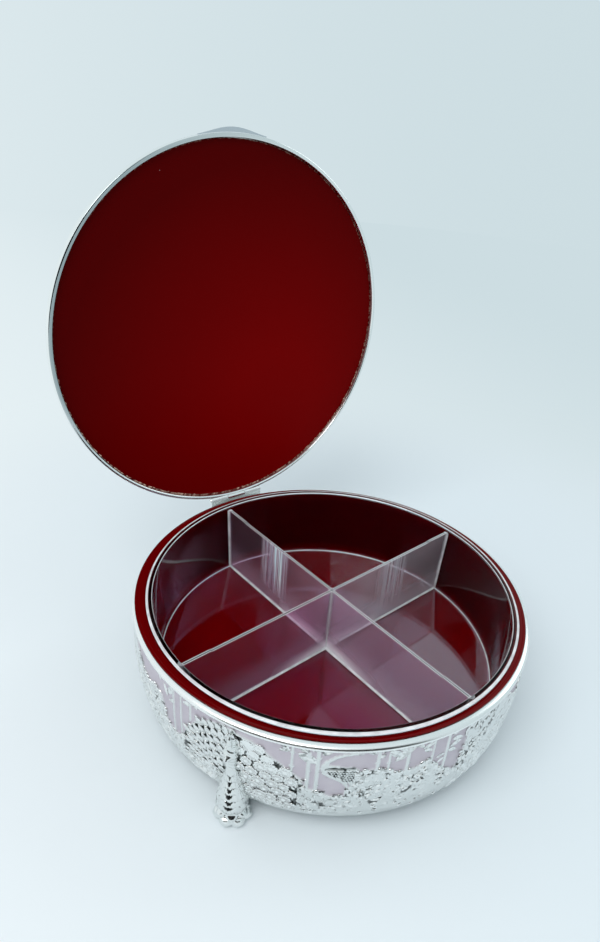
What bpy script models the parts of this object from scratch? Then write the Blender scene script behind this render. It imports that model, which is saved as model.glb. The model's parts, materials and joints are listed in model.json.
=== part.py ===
"""Dried fruit box: a round embossed bowl on three cast feet, with a hinged lid.

A red cup lines the bowl and a clear tray with four compartments lies in it.
Metres, +Z up, hinge at +Y. The origin is the centre of the base's underside.
The lid stands open, as it does when the box is in use.
"""
import math

import bmesh
import bpy
from mathutils import Matrix, Vector

MM = 0.001

# Running and seating gap between neighbouring pieces
GAP = 0.3 * MM
# Points closer than this are one point
WELD = 0.005 * MM
# How far a cutting tool passes the faces that it cuts
OVERRUN = 2.0 * MM

# Plain rolled band round the bowl's mouth; every other round piece follows its radius
BAND_R = 125.0 * MM
BAND_H = 6.5 * MM
BAND_SKIRT_T = 0.8 * MM
BAND_ROLL = 1.1 * MM
BAND_TOP_T = 1.2 * MM
BAND_GROOVE = 0.4 * MM

# Bowl wall, one embossed sheet
SHEET = 1.0 * MM
WALL_TAPER = 5.7 * MM
CORNER_R = 8.0 * MM
WALL_SWELL = 3.0
BASE_TURN_IN = 26.2 * MM
BASE_LAP = 10.0 * MM

# Main relief pressed into the wall: heaps of leaves and fanned tails round every foot
RELIEF_H = 1.0 * MM
RELIEF_EDGE = 2.5 * MM
RELIEF_CLEAR = 1.5 * MM
# Degrees from the nearest foot, upper edge of the relief as a share of the wall's height
RELIEF_EDGE_SHARES = (
    (-60, 1.00), (-43, 1.00), (-37, 0.75), (-25, 0.75), (-22, 0.45), (-16, 0.45), (-11, 0.90), (9, 0.90), (16, 0.68),
    (19, 0.48), (28, 0.42), (29, 0.75), (50, 0.75), (55, 0.50), (58, 0.45), (60, 1.00),
)

# Red cup that lines the bowl
FLANGE_TOP_Z = 68.0 * MM
FLANGE_INSET = 2.2 * MM
FLANGE_W = 6.8 * MM
FLANGE_T = 1.2 * MM
LINER_DRAFT = 2.8 * MM
LINER_T = 1.5 * MM
LINER_CORNER_R = 5.0 * MM
LINER_PLAY = 1.6 * MM
LINER_SHIFT_X = -1.0 * MM
LINER_SHIFT_Y = -0.4 * MM

# Clear moulded tray
TRAY_PLAY = 1.6 * MM
TRAY_WALL_T = 1.8 * MM
TRAY_FLOOR_T = 1.8 * MM
TRAY_DEPTH = 50.6 * MM
TRAY_CORNER_R = 4.6 * MM
TRAY_BEAD_R = 1.1 * MM
DIVIDER_T = 2.0 * MM
DIVIDER_DROP = 1.7 * MM
TRAY_SHIFT_X = -0.5 * MM
TRAY_SHIFT_Y = -1.6 * MM
TRAY_TURN = math.radians(6.3)

# Lid
LID_RIM_T = 2.6 * MM
LID_RIM_H = 6.2 * MM
LID_RIM_ROLL = 0.7 * MM
PANEL_T = 2.9 * MM
PANEL_CLEAR = 0.5 * MM
DOME_RISE = 26.0 * MM
DOME_EDGE_R = 3.0 * MM
DOME_FLANGE = 6.0 * MM
LID_OPEN = math.radians(94.7)

# Thumb tab at the front of the lid
TAB_HALF_W = 24.0 * MM
TAB_REACH = 3.0 * MM
TAB_TIP = 0.5 * MM
TAB_T = 1.6 * MM
TAB_RISE = 1.2 * MM
TAB_TURN = math.radians(1.8)

# Hinge
HINGE_OUTSET = 0.5 * MM
HINGE_RISE = 1.2 * MM
HINGE_HALF_W = 21.0 * MM
MIDDLE_KNUCKLE_HALF_W = 7.0 * MM
KNUCKLE_R = 2.2 * MM
PIN_R = 0.9 * MM
PIN_END = 0.8 * MM
LEAF_T = 1.0 * MM
BOWL_LEAF_TOP_DROP = 1.5 * MM
BOWL_LEAF_DROP = 7.7 * MM
LID_LEAF_RISE = 5.2 * MM
RIVET_R = 0.7 * MM
RIVET_HEAD_R = 1.4 * MM
RIVET_HEAD_H = 0.7 * MM
RIVET_TAIL_R = 1.3 * MM
RIVET_TAIL_H = 0.5 * MM
BOWL_RIVET_HALF_SPREAD = 14.0 * MM
BOWL_RIVET_DROP = 6.0 * MM
FLUSH_HEAD_R = 1.1 * MM
LID_RIVET_HALF_SPREAD = 4.2 * MM
LID_RIVET_RISE = 3.8 * MM
LID_RIVET_BITE = 1.5 * MM

# Cast peacock feet
FOOT_DROP = 7.5 * MM
FOOT_CREST_LAP = 1.0 * MM
FOOT_BASE_R = 9.3 * MM
FOOT_STAND_OFF = 3.3 * MM
FOOT_LEAN = 5.0 * MM
FOOT_TURN = math.radians(0.5)
FOOT_LOBES = 6
FOOT_LOBE_SHARE = 0.1
FOOT_LOBE_END_SHARE = 0.16
# Share of the foot's height, share of its base radius
FOOT_OUTLINE_SHARES = (
    (0.00, 0.86), (0.03, 1.00), (0.09, 0.98), (0.15, 0.76), (0.24, 0.74), (0.33, 0.78), (0.45, 0.66),
    (0.58, 0.48), (0.70, 0.35), (0.78, 0.33), (0.86, 0.42), (0.92, 0.42), (0.97, 0.28), (1.00, 0.10),
)

# Fixing screw and washer of each foot
SCREW_Z = 24.0 * MM
SCREW_R = 1.5 * MM
SCREW_BITE = 5.0 * MM
SCREW_HEAD_R = 2.6 * MM
SCREW_HEAD_H = 1.6 * MM
SCREW_SLOT_W = 0.7 * MM
SCREW_SLOT_DEPTH = 0.7 * MM
WASHER_R = 3.4 * MM
WASHER_T = 0.6 * MM
WASHER_SEAT = 0.6 * MM

# Facets round each kind of turned piece
ROUND = 56
RELIEF_ROUND = 72
FOOT_ROUND = 14
SMALL_ROUND = 10
CORNER_STEPS = 3
WALL_STEPS = 4

# Sizes that follow from the ones above
BAND_TOP_Z = FLANGE_TOP_Z - FLANGE_T - GAP
BAND_LOW_Z = BAND_TOP_Z - BAND_H
BAND_SKIRT_R = BAND_R - BAND_SKIRT_T
WALL_TOP_Z = BAND_TOP_Z - BAND_TOP_T - GAP
WALL_TOP_R = BAND_SKIRT_R - GAP
WALL_FOOT_R = WALL_TOP_R - WALL_TAPER
BASE_HOLE_R = WALL_FOOT_R - BASE_TURN_IN
FLANGE_R = BAND_R - FLANGE_INSET
LINER_MOUTH_R = FLANGE_R - FLANGE_W
LINER_FOOT_R = LINER_MOUTH_R - LINER_DRAFT
BAND_MOUTH_R = LINER_MOUTH_R + LINER_T + LINER_PLAY
LINER_FLOOR_Z = FLANGE_TOP_Z + GAP + TRAY_BEAD_R - TRAY_DEPTH - TRAY_FLOOR_T - GAP
BEAD_Z = FLANGE_TOP_Z + GAP + TRAY_BEAD_R
TRAY_FLOOR_Z = BEAD_Z - TRAY_DEPTH
LID_R = BAND_R
LID_SEAT_Z = FLANGE_TOP_Z + GAP
LID_RIM_TOP_Z = LID_SEAT_Z + LID_RIM_H
PANEL_R = LID_R - LID_RIM_T - GAP
PANEL_FACE_Z = BEAD_Z + TRAY_BEAD_R + PANEL_CLEAR
HINGE_Y = BAND_R + HINGE_OUTSET
HINGE_Z = FLANGE_TOP_Z + HINGE_RISE
FOOT_SOLE_OUT_R = WALL_FOOT_R + FOOT_STAND_OFF
FOOT_H = BAND_LOW_Z + FOOT_CREST_LAP + FOOT_DROP
RELIEF_END_Z = BAND_LOW_Z - RELIEF_CLEAR
RELIEF_HIGH_Z = RELIEF_END_Z - RELIEF_EDGE
THIRD = math.tau / 3
FEET = (("left", FOOT_TURN - THIRD / 2), ("right", FOOT_TURN + THIRD / 2), ("rear", FOOT_TURN + THIRD * 3 / 2))


def wall_radius(height):
    """Outer radius of the bowl's wall at a height: steep at the rim, drawn in towards the base."""
    share = (height - CORNER_R) / (WALL_TOP_Z - CORNER_R)
    return WALL_FOOT_R + (WALL_TOP_R - WALL_FOOT_R) * (1 - (1 - share) ** WALL_SWELL)


def wall_heights():
    """Heights of the wall's rows: the relief's own rows, its upper end, and the wall's top."""
    rows = [CORNER_R + (RELIEF_HIGH_Z - CORNER_R) * i / WALL_STEPS for i in range(1, WALL_STEPS + 1)]
    return rows + [RELIEF_END_Z, WALL_TOP_Z]


def relief_reaches(bearing, height):
    """Whether the relief stands out from the wall at a bearing from the nearest foot, in degrees."""
    if not CORNER_R + WELD < height < RELIEF_END_Z - WELD:
        return False
    for (low, low_share), (high, high_share) in zip(RELIEF_EDGE_SHARES, RELIEF_EDGE_SHARES[1:]):
        if low <= bearing <= high:
            share = low_share + (high_share - low_share) * (bearing - low) / (high - low)
            return height <= share * WALL_TOP_Z
    return False


def press_relief(bm):
    """Move the wall's outer points out where the relief stands."""
    for vert in bm.verts:
        radius = vert.co.xy.length
        height = vert.co.z
        if radius < wall_radius(height) - SHEET / 2:
            continue
        bearing = math.atan2(vert.co.x, -vert.co.y)
        nearest = min((math.remainder(bearing - foot_bearing, math.tau) for _, foot_bearing in FEET), key=abs)
        if relief_reaches(math.degrees(nearest), height):
            vert.co.xy *= (radius + RELIEF_H) / radius


def arc(centre_r, centre_z, radius, start, end, steps=CORNER_STEPS):
    """Points of an arc in the turning plane, from one angle in degrees to another."""
    points = []
    for i in range(steps + 1):
        angle = math.radians(start + (end - start) * i / steps)
        points.append((centre_r + radius * math.cos(angle), centre_z + radius * math.sin(angle)))
    return points


def material(name, colour, metallic, roughness, alpha=1.0):
    """A Principled material with one plain finish."""
    made = bpy.data.materials.new(name)
    made.use_nodes = True
    shader = made.node_tree.nodes["Principled BSDF"]
    shader.inputs["Base Color"].default_value = (*colour, 1.0)
    shader.inputs["Metallic"].default_value = metallic
    shader.inputs["Roughness"].default_value = roughness
    shader.inputs["Alpha"].default_value = alpha
    made.diffuse_color = (*colour, 1.0)
    return made


def place(bm, name, finish=None, parent=None, turn=None, facet=40):
    """Put a mesh in the scene as a named object, smooth on its round faces."""
    bmesh.ops.recalc_face_normals(bm, faces=bm.faces)
    mesh = bpy.data.meshes.new(name)
    bm.to_mesh(mesh)
    bm.free()
    mesh.shade_smooth()
    mesh.set_sharp_from_angle(angle=math.radians(facet))
    made = bpy.data.objects.new(name, mesh)
    bpy.context.collection.objects.link(made)
    if finish:
        mesh.materials.append(finish)
    if turn:
        made.matrix_world = turn
    if parent:
        made.parent = parent
        made.matrix_parent_inverse = Matrix.Translation(-parent.location)
    return made


def tool(bm, name, parent=None, turn=None):
    """A hidden shape that cuts or joins another one."""
    made = place(bm, name, parent=parent, turn=turn)
    made.hide_render = True
    made.display_type = "WIRE"
    return made


def combine(target, operand, operation):
    """Cut a piece with a tool, or join the tool's shape to it."""
    step = target.modifiers.new(operation.lower() + "_" + operand.name, "BOOLEAN")
    step.operation = operation
    step.solver = "EXACT"
    step.object = operand


def turned(outline, steps=ROUND):
    """Spin a closed outline of (radius, height) points once round Z."""
    bm = bmesh.new()
    verts = [bm.verts.new((radius, 0, height)) for radius, height in outline]
    edges = []
    for first, second in zip(verts, verts[1:] + verts[:1]):
        if first.co.x > WELD or second.co.x > WELD:
            edges.append(bm.edges.new((first, second)))
    bmesh.ops.spin(bm, geom=verts + edges, angle=math.tau, steps=steps, axis=(0, 0, 1), cent=(0, 0, 0))
    bmesh.ops.remove_doubles(bm, verts=bm.verts, dist=WELD)
    return bm


def lofted(rings):
    """Skin a row of rings with the same number of points, and close both ends."""
    bm = bmesh.new()
    rows = [[bm.verts.new(point) for point in ring] for ring in rings]
    count = len(rows[0])
    for low, high in zip(rows, rows[1:]):
        for i in range(count):
            bm.faces.new((low[i], low[(i + 1) % count], high[(i + 1) % count], high[i]))
    bm.faces.new(rows[0])
    bm.faces.new(rows[-1])
    return bm


def rod(radius, low, high, steps=SMALL_ROUND):
    """A round bar along Z between two heights."""
    bm = bmesh.new()
    middle = Matrix.Translation((0, 0, (low + high) / 2))
    bmesh.ops.create_cone(
        bm, cap_ends=True, segments=steps, radius1=radius, radius2=radius, depth=high - low, matrix=middle
    )
    return bm


def block(low, high):
    """A box between two corners."""
    size = Vector(high) - Vector(low)
    middle = (Vector(high) + Vector(low)) / 2
    bm = bmesh.new()
    bmesh.ops.create_cube(bm, size=1, matrix=Matrix.Translation(middle) @ Matrix.Diagonal((*size, 1)))
    return bm


def along_hinge():
    """Frame of a bar on the hinge's axis, whose Z runs along X."""
    return Matrix.Translation((0, HINGE_Y, HINGE_Z)) @ Matrix.Rotation(math.pi / 2, 4, "Y")


def outward(bearing, radius, height, tilt=0.0):
    """Frame on the bowl's side: its Z points out from the axis, and down by the tilt."""
    side = Matrix.Rotation(bearing, 4, "Z") @ Matrix.Translation((0, -radius, height))
    return side @ Matrix.Rotation(math.pi / 2 + tilt, 4, "X")


def curved_strip(inner_r, thickness, low, high, half_width, steps=8):
    """A strip bent round the bowl's axis at the hinge, as wide as the hinge."""
    rings = []
    reach = math.asin(half_width / inner_r)
    for i in range(steps + 1):
        angle = reach * (2 * i / steps - 1)
        ring = []
        for radius, height in (
            (inner_r, low), (inner_r + thickness, low), (inner_r + thickness, high), (inner_r, high)
        ):
            ring.append((radius * math.sin(angle), radius * math.cos(angle), height))
        rings.append(ring)
    return lofted(rings)


def body_shell(finish):
    """Bowl wall with its main relief and rounded lower edge, turned in under the base plate."""
    heights = wall_heights()
    corner_r = WALL_FOOT_R - CORNER_R
    outline = [(BASE_HOLE_R, 0)]
    outline += arc(corner_r, CORNER_R, CORNER_R, -90, 0)
    outline += [(wall_radius(height), height) for height in heights]
    outline += [(wall_radius(height) - SHEET, height) for height in reversed(heights)]
    outline += arc(corner_r, CORNER_R, CORNER_R - SHEET, 0, -90)
    outline += [(BASE_HOLE_R, SHEET)]
    bm = turned(outline, RELIEF_ROUND)
    press_relief(bm)
    return place(bm, "body_shell", finish)


def base_plate(finish):
    """Flat base let into the shell's opening, with an edge that laps over the shell inside."""
    boss_r = BASE_HOLE_R - GAP
    lap_r = BASE_HOLE_R + BASE_LAP
    lap_z = SHEET + GAP
    outline = [(0, 0), (boss_r, 0), (boss_r, lap_z), (lap_r, lap_z), (lap_r, lap_z + SHEET)]
    outline += [(boss_r - SHEET, lap_z + SHEET), (boss_r - SHEET, SHEET), (0, SHEET)]
    return place(turned(outline), "base_plate", finish)


def rim_band(finish):
    """Rolled band over the wall's edge, with a fine groove; the liner's flange lies on its top."""
    low = BAND_LOW_Z
    middle_z = (low + BAND_TOP_Z - BAND_ROLL) / 2
    outline = [(BAND_SKIRT_R, low), (BAND_R - BAND_GROOVE, low)]
    outline += [(BAND_R, low + BAND_GROOVE), (BAND_R, middle_z - BAND_GROOVE)]
    outline += [(BAND_R - BAND_GROOVE, middle_z), (BAND_R, middle_z + BAND_GROOVE)]
    outline += arc(BAND_R - BAND_ROLL, BAND_TOP_Z - BAND_ROLL, BAND_ROLL, 0, 90, 3)
    outline += [(BAND_MOUTH_R, BAND_TOP_Z), (BAND_MOUTH_R, BAND_TOP_Z - BAND_TOP_T)]
    outline += [(BAND_SKIRT_R, BAND_TOP_Z - BAND_TOP_T)]
    return place(turned(outline), "rim_band", finish)


def red_liner(finish):
    """Cup whose flange lies loose on the band, a little off centre, and whose floor carries the tray."""
    under_z = LINER_FLOOR_Z - LINER_T
    corner = LINER_CORNER_R
    outline = [(0, under_z)]
    outline += arc(LINER_FOOT_R + LINER_T - corner, under_z + corner, corner, -90, 0)
    outline += [(LINER_MOUTH_R + LINER_T, FLANGE_TOP_Z - FLANGE_T), (FLANGE_R, FLANGE_TOP_Z - FLANGE_T)]
    outline += [(FLANGE_R, FLANGE_TOP_Z), (LINER_MOUTH_R, FLANGE_TOP_Z)]
    inner = corner - LINER_T
    outline += arc(LINER_FOOT_R - inner, LINER_FLOOR_Z + inner, inner, 0, -90)
    outline += [(0, LINER_FLOOR_Z)]
    lie = Matrix.Translation((LINER_SHIFT_X, LINER_SHIFT_Y, 0))
    return place(turned(outline), "red_liner", finish, turn=lie)


def divider(bearing, name, parent):
    """One straight wall across the tray, as wide at each height as the drafted side wall."""
    half_top = LINER_MOUTH_R - TRAY_PLAY - TRAY_WALL_T / 2
    half_foot = LINER_FOOT_R - TRAY_PLAY - TRAY_WALL_T / 2
    low = TRAY_FLOOR_Z - TRAY_FLOOR_T / 2
    high = BEAD_Z - DIVIDER_DROP
    rings = []
    for side in (-DIVIDER_T / 2, DIVIDER_T / 2):
        rings.append([
            (-half_foot, side, low), (half_foot, side, low), (half_top, side, high), (-half_top, side, high)
        ])
    return tool(lofted(rings), name, parent, Matrix.Rotation(bearing, 4, "Z"))


def clear_tray(finish, parent):
    """Round tray with a beaded rim that lies on the liner's flange, and a cross of two dividers."""
    mouth_r = LINER_MOUTH_R - TRAY_PLAY
    foot_r = LINER_FOOT_R - TRAY_PLAY
    under_z = TRAY_FLOOR_Z - TRAY_FLOOR_T
    outline = [(0, under_z)]
    outline += arc(foot_r - TRAY_CORNER_R, under_z + TRAY_CORNER_R, TRAY_CORNER_R, -90, 0, 2)
    outline += [(mouth_r, BEAD_Z - TRAY_BEAD_R)]
    outline += arc(mouth_r + TRAY_BEAD_R, BEAD_Z, TRAY_BEAD_R, -90, 90, 4)
    outline += [(mouth_r - TRAY_WALL_T, BEAD_Z + TRAY_BEAD_R)]
    inner = TRAY_CORNER_R - TRAY_FLOOR_T
    outline += arc(foot_r - TRAY_WALL_T - inner, TRAY_FLOOR_Z + inner, inner, 0, -90, 2)
    outline += [(0, TRAY_FLOOR_Z)]
    tray = place(turned(outline), "clear_tray", finish, parent)
    for index in range(2):
        combine(tray, divider(index * math.pi / 2, f"divider_{index}", parent), "UNION")
    return tray


def foot(name, bearing, wall_tool, finish):
    """Cast peacock: lobed claws, full breast, slim neck and round head, its back against the wall."""
    rings = []
    for height_share, radius_share in FOOT_OUTLINE_SHARES:
        height = FOOT_H * height_share - FOOT_DROP
        middle = FOOT_SOLE_OUT_R + FOOT_LEAN * height_share
        ring = []
        for i in range(FOOT_ROUND):
            angle = math.tau * i / FOOT_ROUND
            lobe = FOOT_LOBE_SHARE * math.cos(FOOT_LOBES * angle) if height_share < FOOT_LOBE_END_SHARE else 0
            radius = FOOT_BASE_R * (radius_share + lobe)
            ring.append((radius * math.sin(angle), -middle - radius * math.cos(angle), height))
        rings.append(ring)
    made = place(lofted(rings), "foot_" + name, finish, turn=Matrix.Rotation(bearing, 4, "Z"), facet=60)
    combine(made, wall_tool, "DIFFERENCE")
    return made


def wall_room():
    """The space that the bowl with its relief and its band take up, grown by the gap."""
    corner_r = WALL_FOOT_R - CORNER_R
    outline = [(0, -GAP)]
    outline += arc(corner_r, CORNER_R, CORNER_R + GAP, -90, 0)
    for height in wall_heights():
        lift = RELIEF_H if height < RELIEF_END_Z else 0
        outline.append((wall_radius(height) + lift + GAP, height))
    outline += [(0, WALL_TOP_Z)]
    return tool(turned(outline, RELIEF_ROUND), "wall_room")


def foot_fixings(name, bearing, shell, cast_foot, steel):
    """Slotted screw and washer that draw a foot against the wall from inside the bowl."""
    rise = wall_radius(SCREW_Z + WASHER_R) - wall_radius(SCREW_Z - WASHER_R)
    slope = math.atan(rise / (WASHER_R * 2))
    frame = outward(bearing, wall_radius(SCREW_Z), SCREW_Z, slope)
    washer_back = -SHEET - WASHER_SEAT - WASHER_T
    head_seat = washer_back - GAP
    washer = place(rod(WASHER_R, washer_back, washer_back + WASHER_T), "foot_washer_" + name, steel, turn=frame)
    washer_hole = tool(
        rod(SCREW_R + GAP, washer_back - OVERRUN, washer_back + WASHER_T + OVERRUN), "washer_hole_" + name, turn=frame
    )
    combine(washer, washer_hole, "DIFFERENCE")
    screw = place(rod(SCREW_HEAD_R, head_seat - SCREW_HEAD_H, head_seat), "foot_screw_" + name, steel, turn=frame)
    shank = tool(rod(SCREW_R, head_seat - SCREW_HEAD_H / 2, SCREW_BITE), "shank_" + name, turn=frame)
    combine(screw, shank, "UNION")
    slot_low = head_seat - SCREW_HEAD_H
    slot = tool(
        block(
            (-SCREW_HEAD_R - OVERRUN, -SCREW_SLOT_W / 2, slot_low - OVERRUN),
            (SCREW_HEAD_R + OVERRUN, SCREW_SLOT_W / 2, slot_low + SCREW_SLOT_DEPTH),
        ),
        "slot_" + name, turn=frame,
    )
    combine(screw, slot, "DIFFERENCE")
    hole = tool(rod(SCREW_R + GAP, -SHEET - OVERRUN, SCREW_BITE + GAP), "screw_hole_" + name, turn=frame)
    combine(shell, hole, "DIFFERENCE")
    combine(cast_foot, hole, "DIFFERENCE")


def pegged(outline):
    """Round bar whose radius changes along Z: rings of (radius, depth)."""
    rings = []
    for radius, depth in outline:
        ring = []
        for i in range(SMALL_ROUND):
            angle = math.tau * i / SMALL_ROUND
            ring.append((radius * math.cos(angle), radius * math.sin(angle), depth))
        rings.append(ring)
    return lofted(rings)


def hinge(shell, band, lid_band, lid_axis, metal):
    """Two curved leaves with three knuckles on one pin, riveted to the band and to the lid's rim."""
    def on_axis(radius, low, high, name, parent=None):
        return tool(rod(radius, low, high), name, parent, along_hinge())

    bowl_leaf = place(
        curved_strip(BAND_R + GAP, LEAF_T, HINGE_Z - BOWL_LEAF_DROP, HINGE_Z - BOWL_LEAF_TOP_DROP, HINGE_HALF_W),
        "hinge_bowl_leaf", metal,
    )
    lid_leaf = place(
        curved_strip(LID_R + GAP, LEAF_T, HINGE_Z, HINGE_Z + LID_LEAF_RISE, HINGE_HALF_W),
        "hinge_lid_leaf", metal, lid_axis,
    )
    inner_end = MIDDLE_KNUCKLE_HALF_W + GAP
    sweep_r = KNUCKLE_R + GAP
    middle_room = on_axis(sweep_r, -inner_end, inner_end, "middle_knuckle_room")
    combine(bowl_leaf, middle_room, "DIFFERENCE")
    for side, low, high in (("left", -HINGE_HALF_W, -inner_end), ("right", inner_end, HINGE_HALF_W)):
        combine(bowl_leaf, on_axis(KNUCKLE_R, low, high, "knuckle_" + side), "UNION")
        past = OVERRUN if side == "right" else 0
        before = OVERRUN if side == "left" else 0
        shrink_low = low - before if side == "left" else MIDDLE_KNUCKLE_HALF_W
        shrink_high = high + past if side == "right" else -MIDDLE_KNUCKLE_HALF_W
        room = on_axis(sweep_r, shrink_low, shrink_high, "knuckle_room_" + side, lid_axis)
        combine(lid_leaf, room, "DIFFERENCE")
    middle = on_axis(KNUCKLE_R, -MIDDLE_KNUCKLE_HALF_W, MIDDLE_KNUCKLE_HALF_W, "knuckle_middle", lid_axis)
    combine(lid_leaf, middle, "UNION")
    bore_half = HINGE_HALF_W + OVERRUN
    combine(bowl_leaf, on_axis(PIN_R + GAP, -bore_half, bore_half, "bowl_bore"), "DIFFERENCE")
    combine(lid_leaf, on_axis(PIN_R + GAP, -bore_half, bore_half, "lid_bore", lid_axis), "DIFFERENCE")
    barrel_half = HINGE_HALF_W + GAP
    combine(band, on_axis(sweep_r, -barrel_half, barrel_half, "band_notch"), "DIFFERENCE")
    combine(lid_band, on_axis(sweep_r, -barrel_half, barrel_half, "lid_notch", lid_axis), "DIFFERENCE")
    pin_half = HINGE_HALF_W + PIN_END
    place(rod(PIN_R, -pin_half, pin_half), "hinge_pin", metal, turn=along_hinge())

    bowl_rivets(bowl_leaf, band, shell, metal)
    lid_rivets(lid_leaf, lid_band, lid_axis, metal)


def bowl_rivets(leaf, band, shell, metal):
    """Two headed rivets through the bowl's leaf, the band and the wall, spread inside the wall."""
    face_r = BAND_R + GAP + LEAF_T
    height = HINGE_Z - BOWL_RIVET_DROP
    reach = face_r + GAP - wall_radius(height) + SHEET + GAP
    outline = [(RIVET_TAIL_R, -reach - RIVET_TAIL_H), (RIVET_TAIL_R, -reach), (RIVET_R, -reach), (RIVET_R, 0)]
    outline += [(RIVET_HEAD_R, 0), (RIVET_HEAD_R, RIVET_HEAD_H / 2), (RIVET_R, RIVET_HEAD_H)]
    for side, sign in (("left", 1), ("right", -1)):
        bearing = math.pi + sign * math.asin(BOWL_RIVET_HALF_SPREAD / BAND_R)
        place(pegged(outline), "bowl_rivet_" + side, metal, turn=outward(bearing, face_r + GAP, height))
        hole = tool(
            rod(RIVET_R + GAP, -reach - OVERRUN, OVERRUN), "bowl_rivet_hole_" + side,
            turn=outward(bearing, face_r, height),
        )
        for piece in (leaf, band, shell):
            combine(piece, hole, "DIFFERENCE")


def lid_rivets(leaf, lid_band, lid_axis, metal):
    """Two flush rivets that hold the lid's leaf on the lid's rim."""
    face_r = LID_R + GAP + LEAF_T
    height = HINGE_Z + LID_RIVET_RISE
    reach = LEAF_T + GAP + LID_RIVET_BITE
    room_r = RIVET_R + GAP
    outline = [(RIVET_R, -reach), (RIVET_R, -LEAF_T), (FLUSH_HEAD_R, 0)]
    room = [(room_r, -reach - GAP), (room_r, -LEAF_T), (FLUSH_HEAD_R + GAP, 0), (FLUSH_HEAD_R + GAP, OVERRUN)]
    for side, sign in (("left", 1), ("right", -1)):
        bearing = math.pi + sign * math.asin(LID_RIVET_HALF_SPREAD / LID_R)
        frame = outward(bearing, face_r, height)
        place(pegged(outline), "lid_rivet_" + side, metal, lid_axis, frame)
        hole = tool(pegged(room), "lid_rivet_hole_" + side, lid_axis, frame)
        for piece in (leaf, lid_band):
            combine(piece, hole, "DIFFERENCE")


def lid_rim(finish, parent):
    """Solid rolled ring that the lid's dome and its red panel are set in."""
    inner_r = LID_R - LID_RIM_T
    outline = [(inner_r, LID_SEAT_Z + LID_RIM_ROLL / 2), (inner_r + LID_RIM_ROLL / 2, LID_SEAT_Z)]
    outline += arc(LID_R - LID_RIM_ROLL, LID_SEAT_Z + LID_RIM_ROLL, LID_RIM_ROLL, -90, 0, 2)
    outline += arc(LID_R - LID_RIM_ROLL, LID_RIM_TOP_Z - LID_RIM_ROLL, LID_RIM_ROLL, 0, 90, 2)
    outline += [(inner_r, LID_RIM_TOP_Z)]
    return place(turned(outline), "lid_rim", finish, parent)


def lid_shell(finish, parent):
    """Pressed dome with a flat flange on the rim's upper edge."""
    low = LID_RIM_TOP_Z + GAP
    edge_r = LID_R - LID_RIM_ROLL
    rise = DOME_RISE - DOME_EDGE_R
    spread = edge_r - DOME_EDGE_R
    dome = []
    for i in range(WALL_STEPS + 1):
        angle = math.radians(90 * i / WALL_STEPS)
        dome.append((spread * math.cos(angle), low + DOME_EDGE_R + rise * math.sin(angle)))
    outline = [(edge_r - DOME_FLANGE, low), (edge_r, low), (edge_r, low + SHEET)]
    outline += [(max(radius, 0), height) for radius, height in dome]
    outline += [(max(radius - SHEET, 0), height - SHEET) for radius, height in reversed(dome)]
    outline += [(edge_r - DOME_FLANGE, low + SHEET)]
    return place(turned(outline), "lid_shell", finish, parent)


def lid_panel(finish, parent):
    """Red disc that closes the lid's underside, set inside the rim."""
    chamfer = LID_RIM_ROLL / 2
    outline = [(0, PANEL_FACE_Z), (PANEL_R - chamfer, PANEL_FACE_Z), (PANEL_R, PANEL_FACE_Z + chamfer)]
    outline += [(PANEL_R, PANEL_FACE_Z + PANEL_T), (0, PANEL_FACE_Z + PANEL_T)]
    return place(turned(outline), "lid_panel", finish, parent)


def thumb_tab(finish, parent):
    """Crescent plate on the rim's outer side, opposite the hinge."""
    inner_r = LID_R + GAP
    reach = math.asin(TAB_HALF_W / inner_r)
    low = LID_SEAT_Z + TAB_RISE
    rings = []
    steps = 12
    for i in range(steps + 1):
        share = 2 * i / steps - 1
        angle = reach * share + TAB_TURN
        outer_r = inner_r + TAB_TIP + (TAB_REACH - TAB_TIP) * math.cos(share * math.pi / 2) ** 2
        ring = []
        for radius, height in ((inner_r, low), (outer_r, low), (outer_r, low + TAB_T), (inner_r, low + TAB_T)):
            ring.append((radius * math.sin(angle), -radius * math.cos(angle), height))
        rings.append(ring)
    return place(lofted(rings), "thumb_tab", finish, parent)


def build():
    """Make every piece and hang the moving ones on their axes."""
    for leftover in list(bpy.data.objects):
        bpy.data.objects.remove(leftover, do_unlink=True)

    silver = material("polished_silver_plate", (0.86, 0.87, 0.88), 1.0, 0.16)
    embossed = material("embossed_silver_sheet", (0.78, 0.78, 0.82), 1.0, 0.28)
    cast = material("cast_silver_plate", (0.82, 0.83, 0.84), 1.0, 0.22)
    red = material("red_acrylic", (0.19, 0.0, 0.005), 0.0, 0.12)
    clear = material("clear_styrene", (0.93, 0.94, 0.96), 0.0, 0.05, 0.35)
    steel = material("bright_steel", (0.62, 0.63, 0.65), 1.0, 0.3)

    lid_axis = bpy.data.objects.new("lid_axis", None)
    lid_axis.location = (0, HINGE_Y, HINGE_Z)
    bpy.context.collection.objects.link(lid_axis)
    tray_axis = bpy.data.objects.new("tray_axis", None)
    bpy.context.collection.objects.link(tray_axis)

    shell = body_shell(embossed)
    base_plate(embossed)
    band = rim_band(silver)
    red_liner(red)
    clear_tray(clear, tray_axis)
    lid_band = lid_rim(silver, lid_axis)
    lid_shell(embossed, lid_axis)
    lid_panel(red, lid_axis)
    thumb_tab(silver, lid_axis)
    hinge(shell, band, lid_band, lid_axis, silver)
    room = wall_room()
    for name, bearing in FEET:
        made = foot(name, bearing, room, cast)
        foot_fixings(name, bearing, shell, made, steel)

    tray_axis.location = (TRAY_SHIFT_X, TRAY_SHIFT_Y, 0)
    tray_axis.rotation_euler.z = TRAY_TURN
    lid_axis.rotation_euler.x = -LID_OPEN


build()
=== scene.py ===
"""Dried fruit box: an embossed silver-plated bowl on three peacock feet, with its lid open."""

import json
import math

import bmesh
import bpy
import numpy as np
from mathutils import Matrix, Vector

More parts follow.
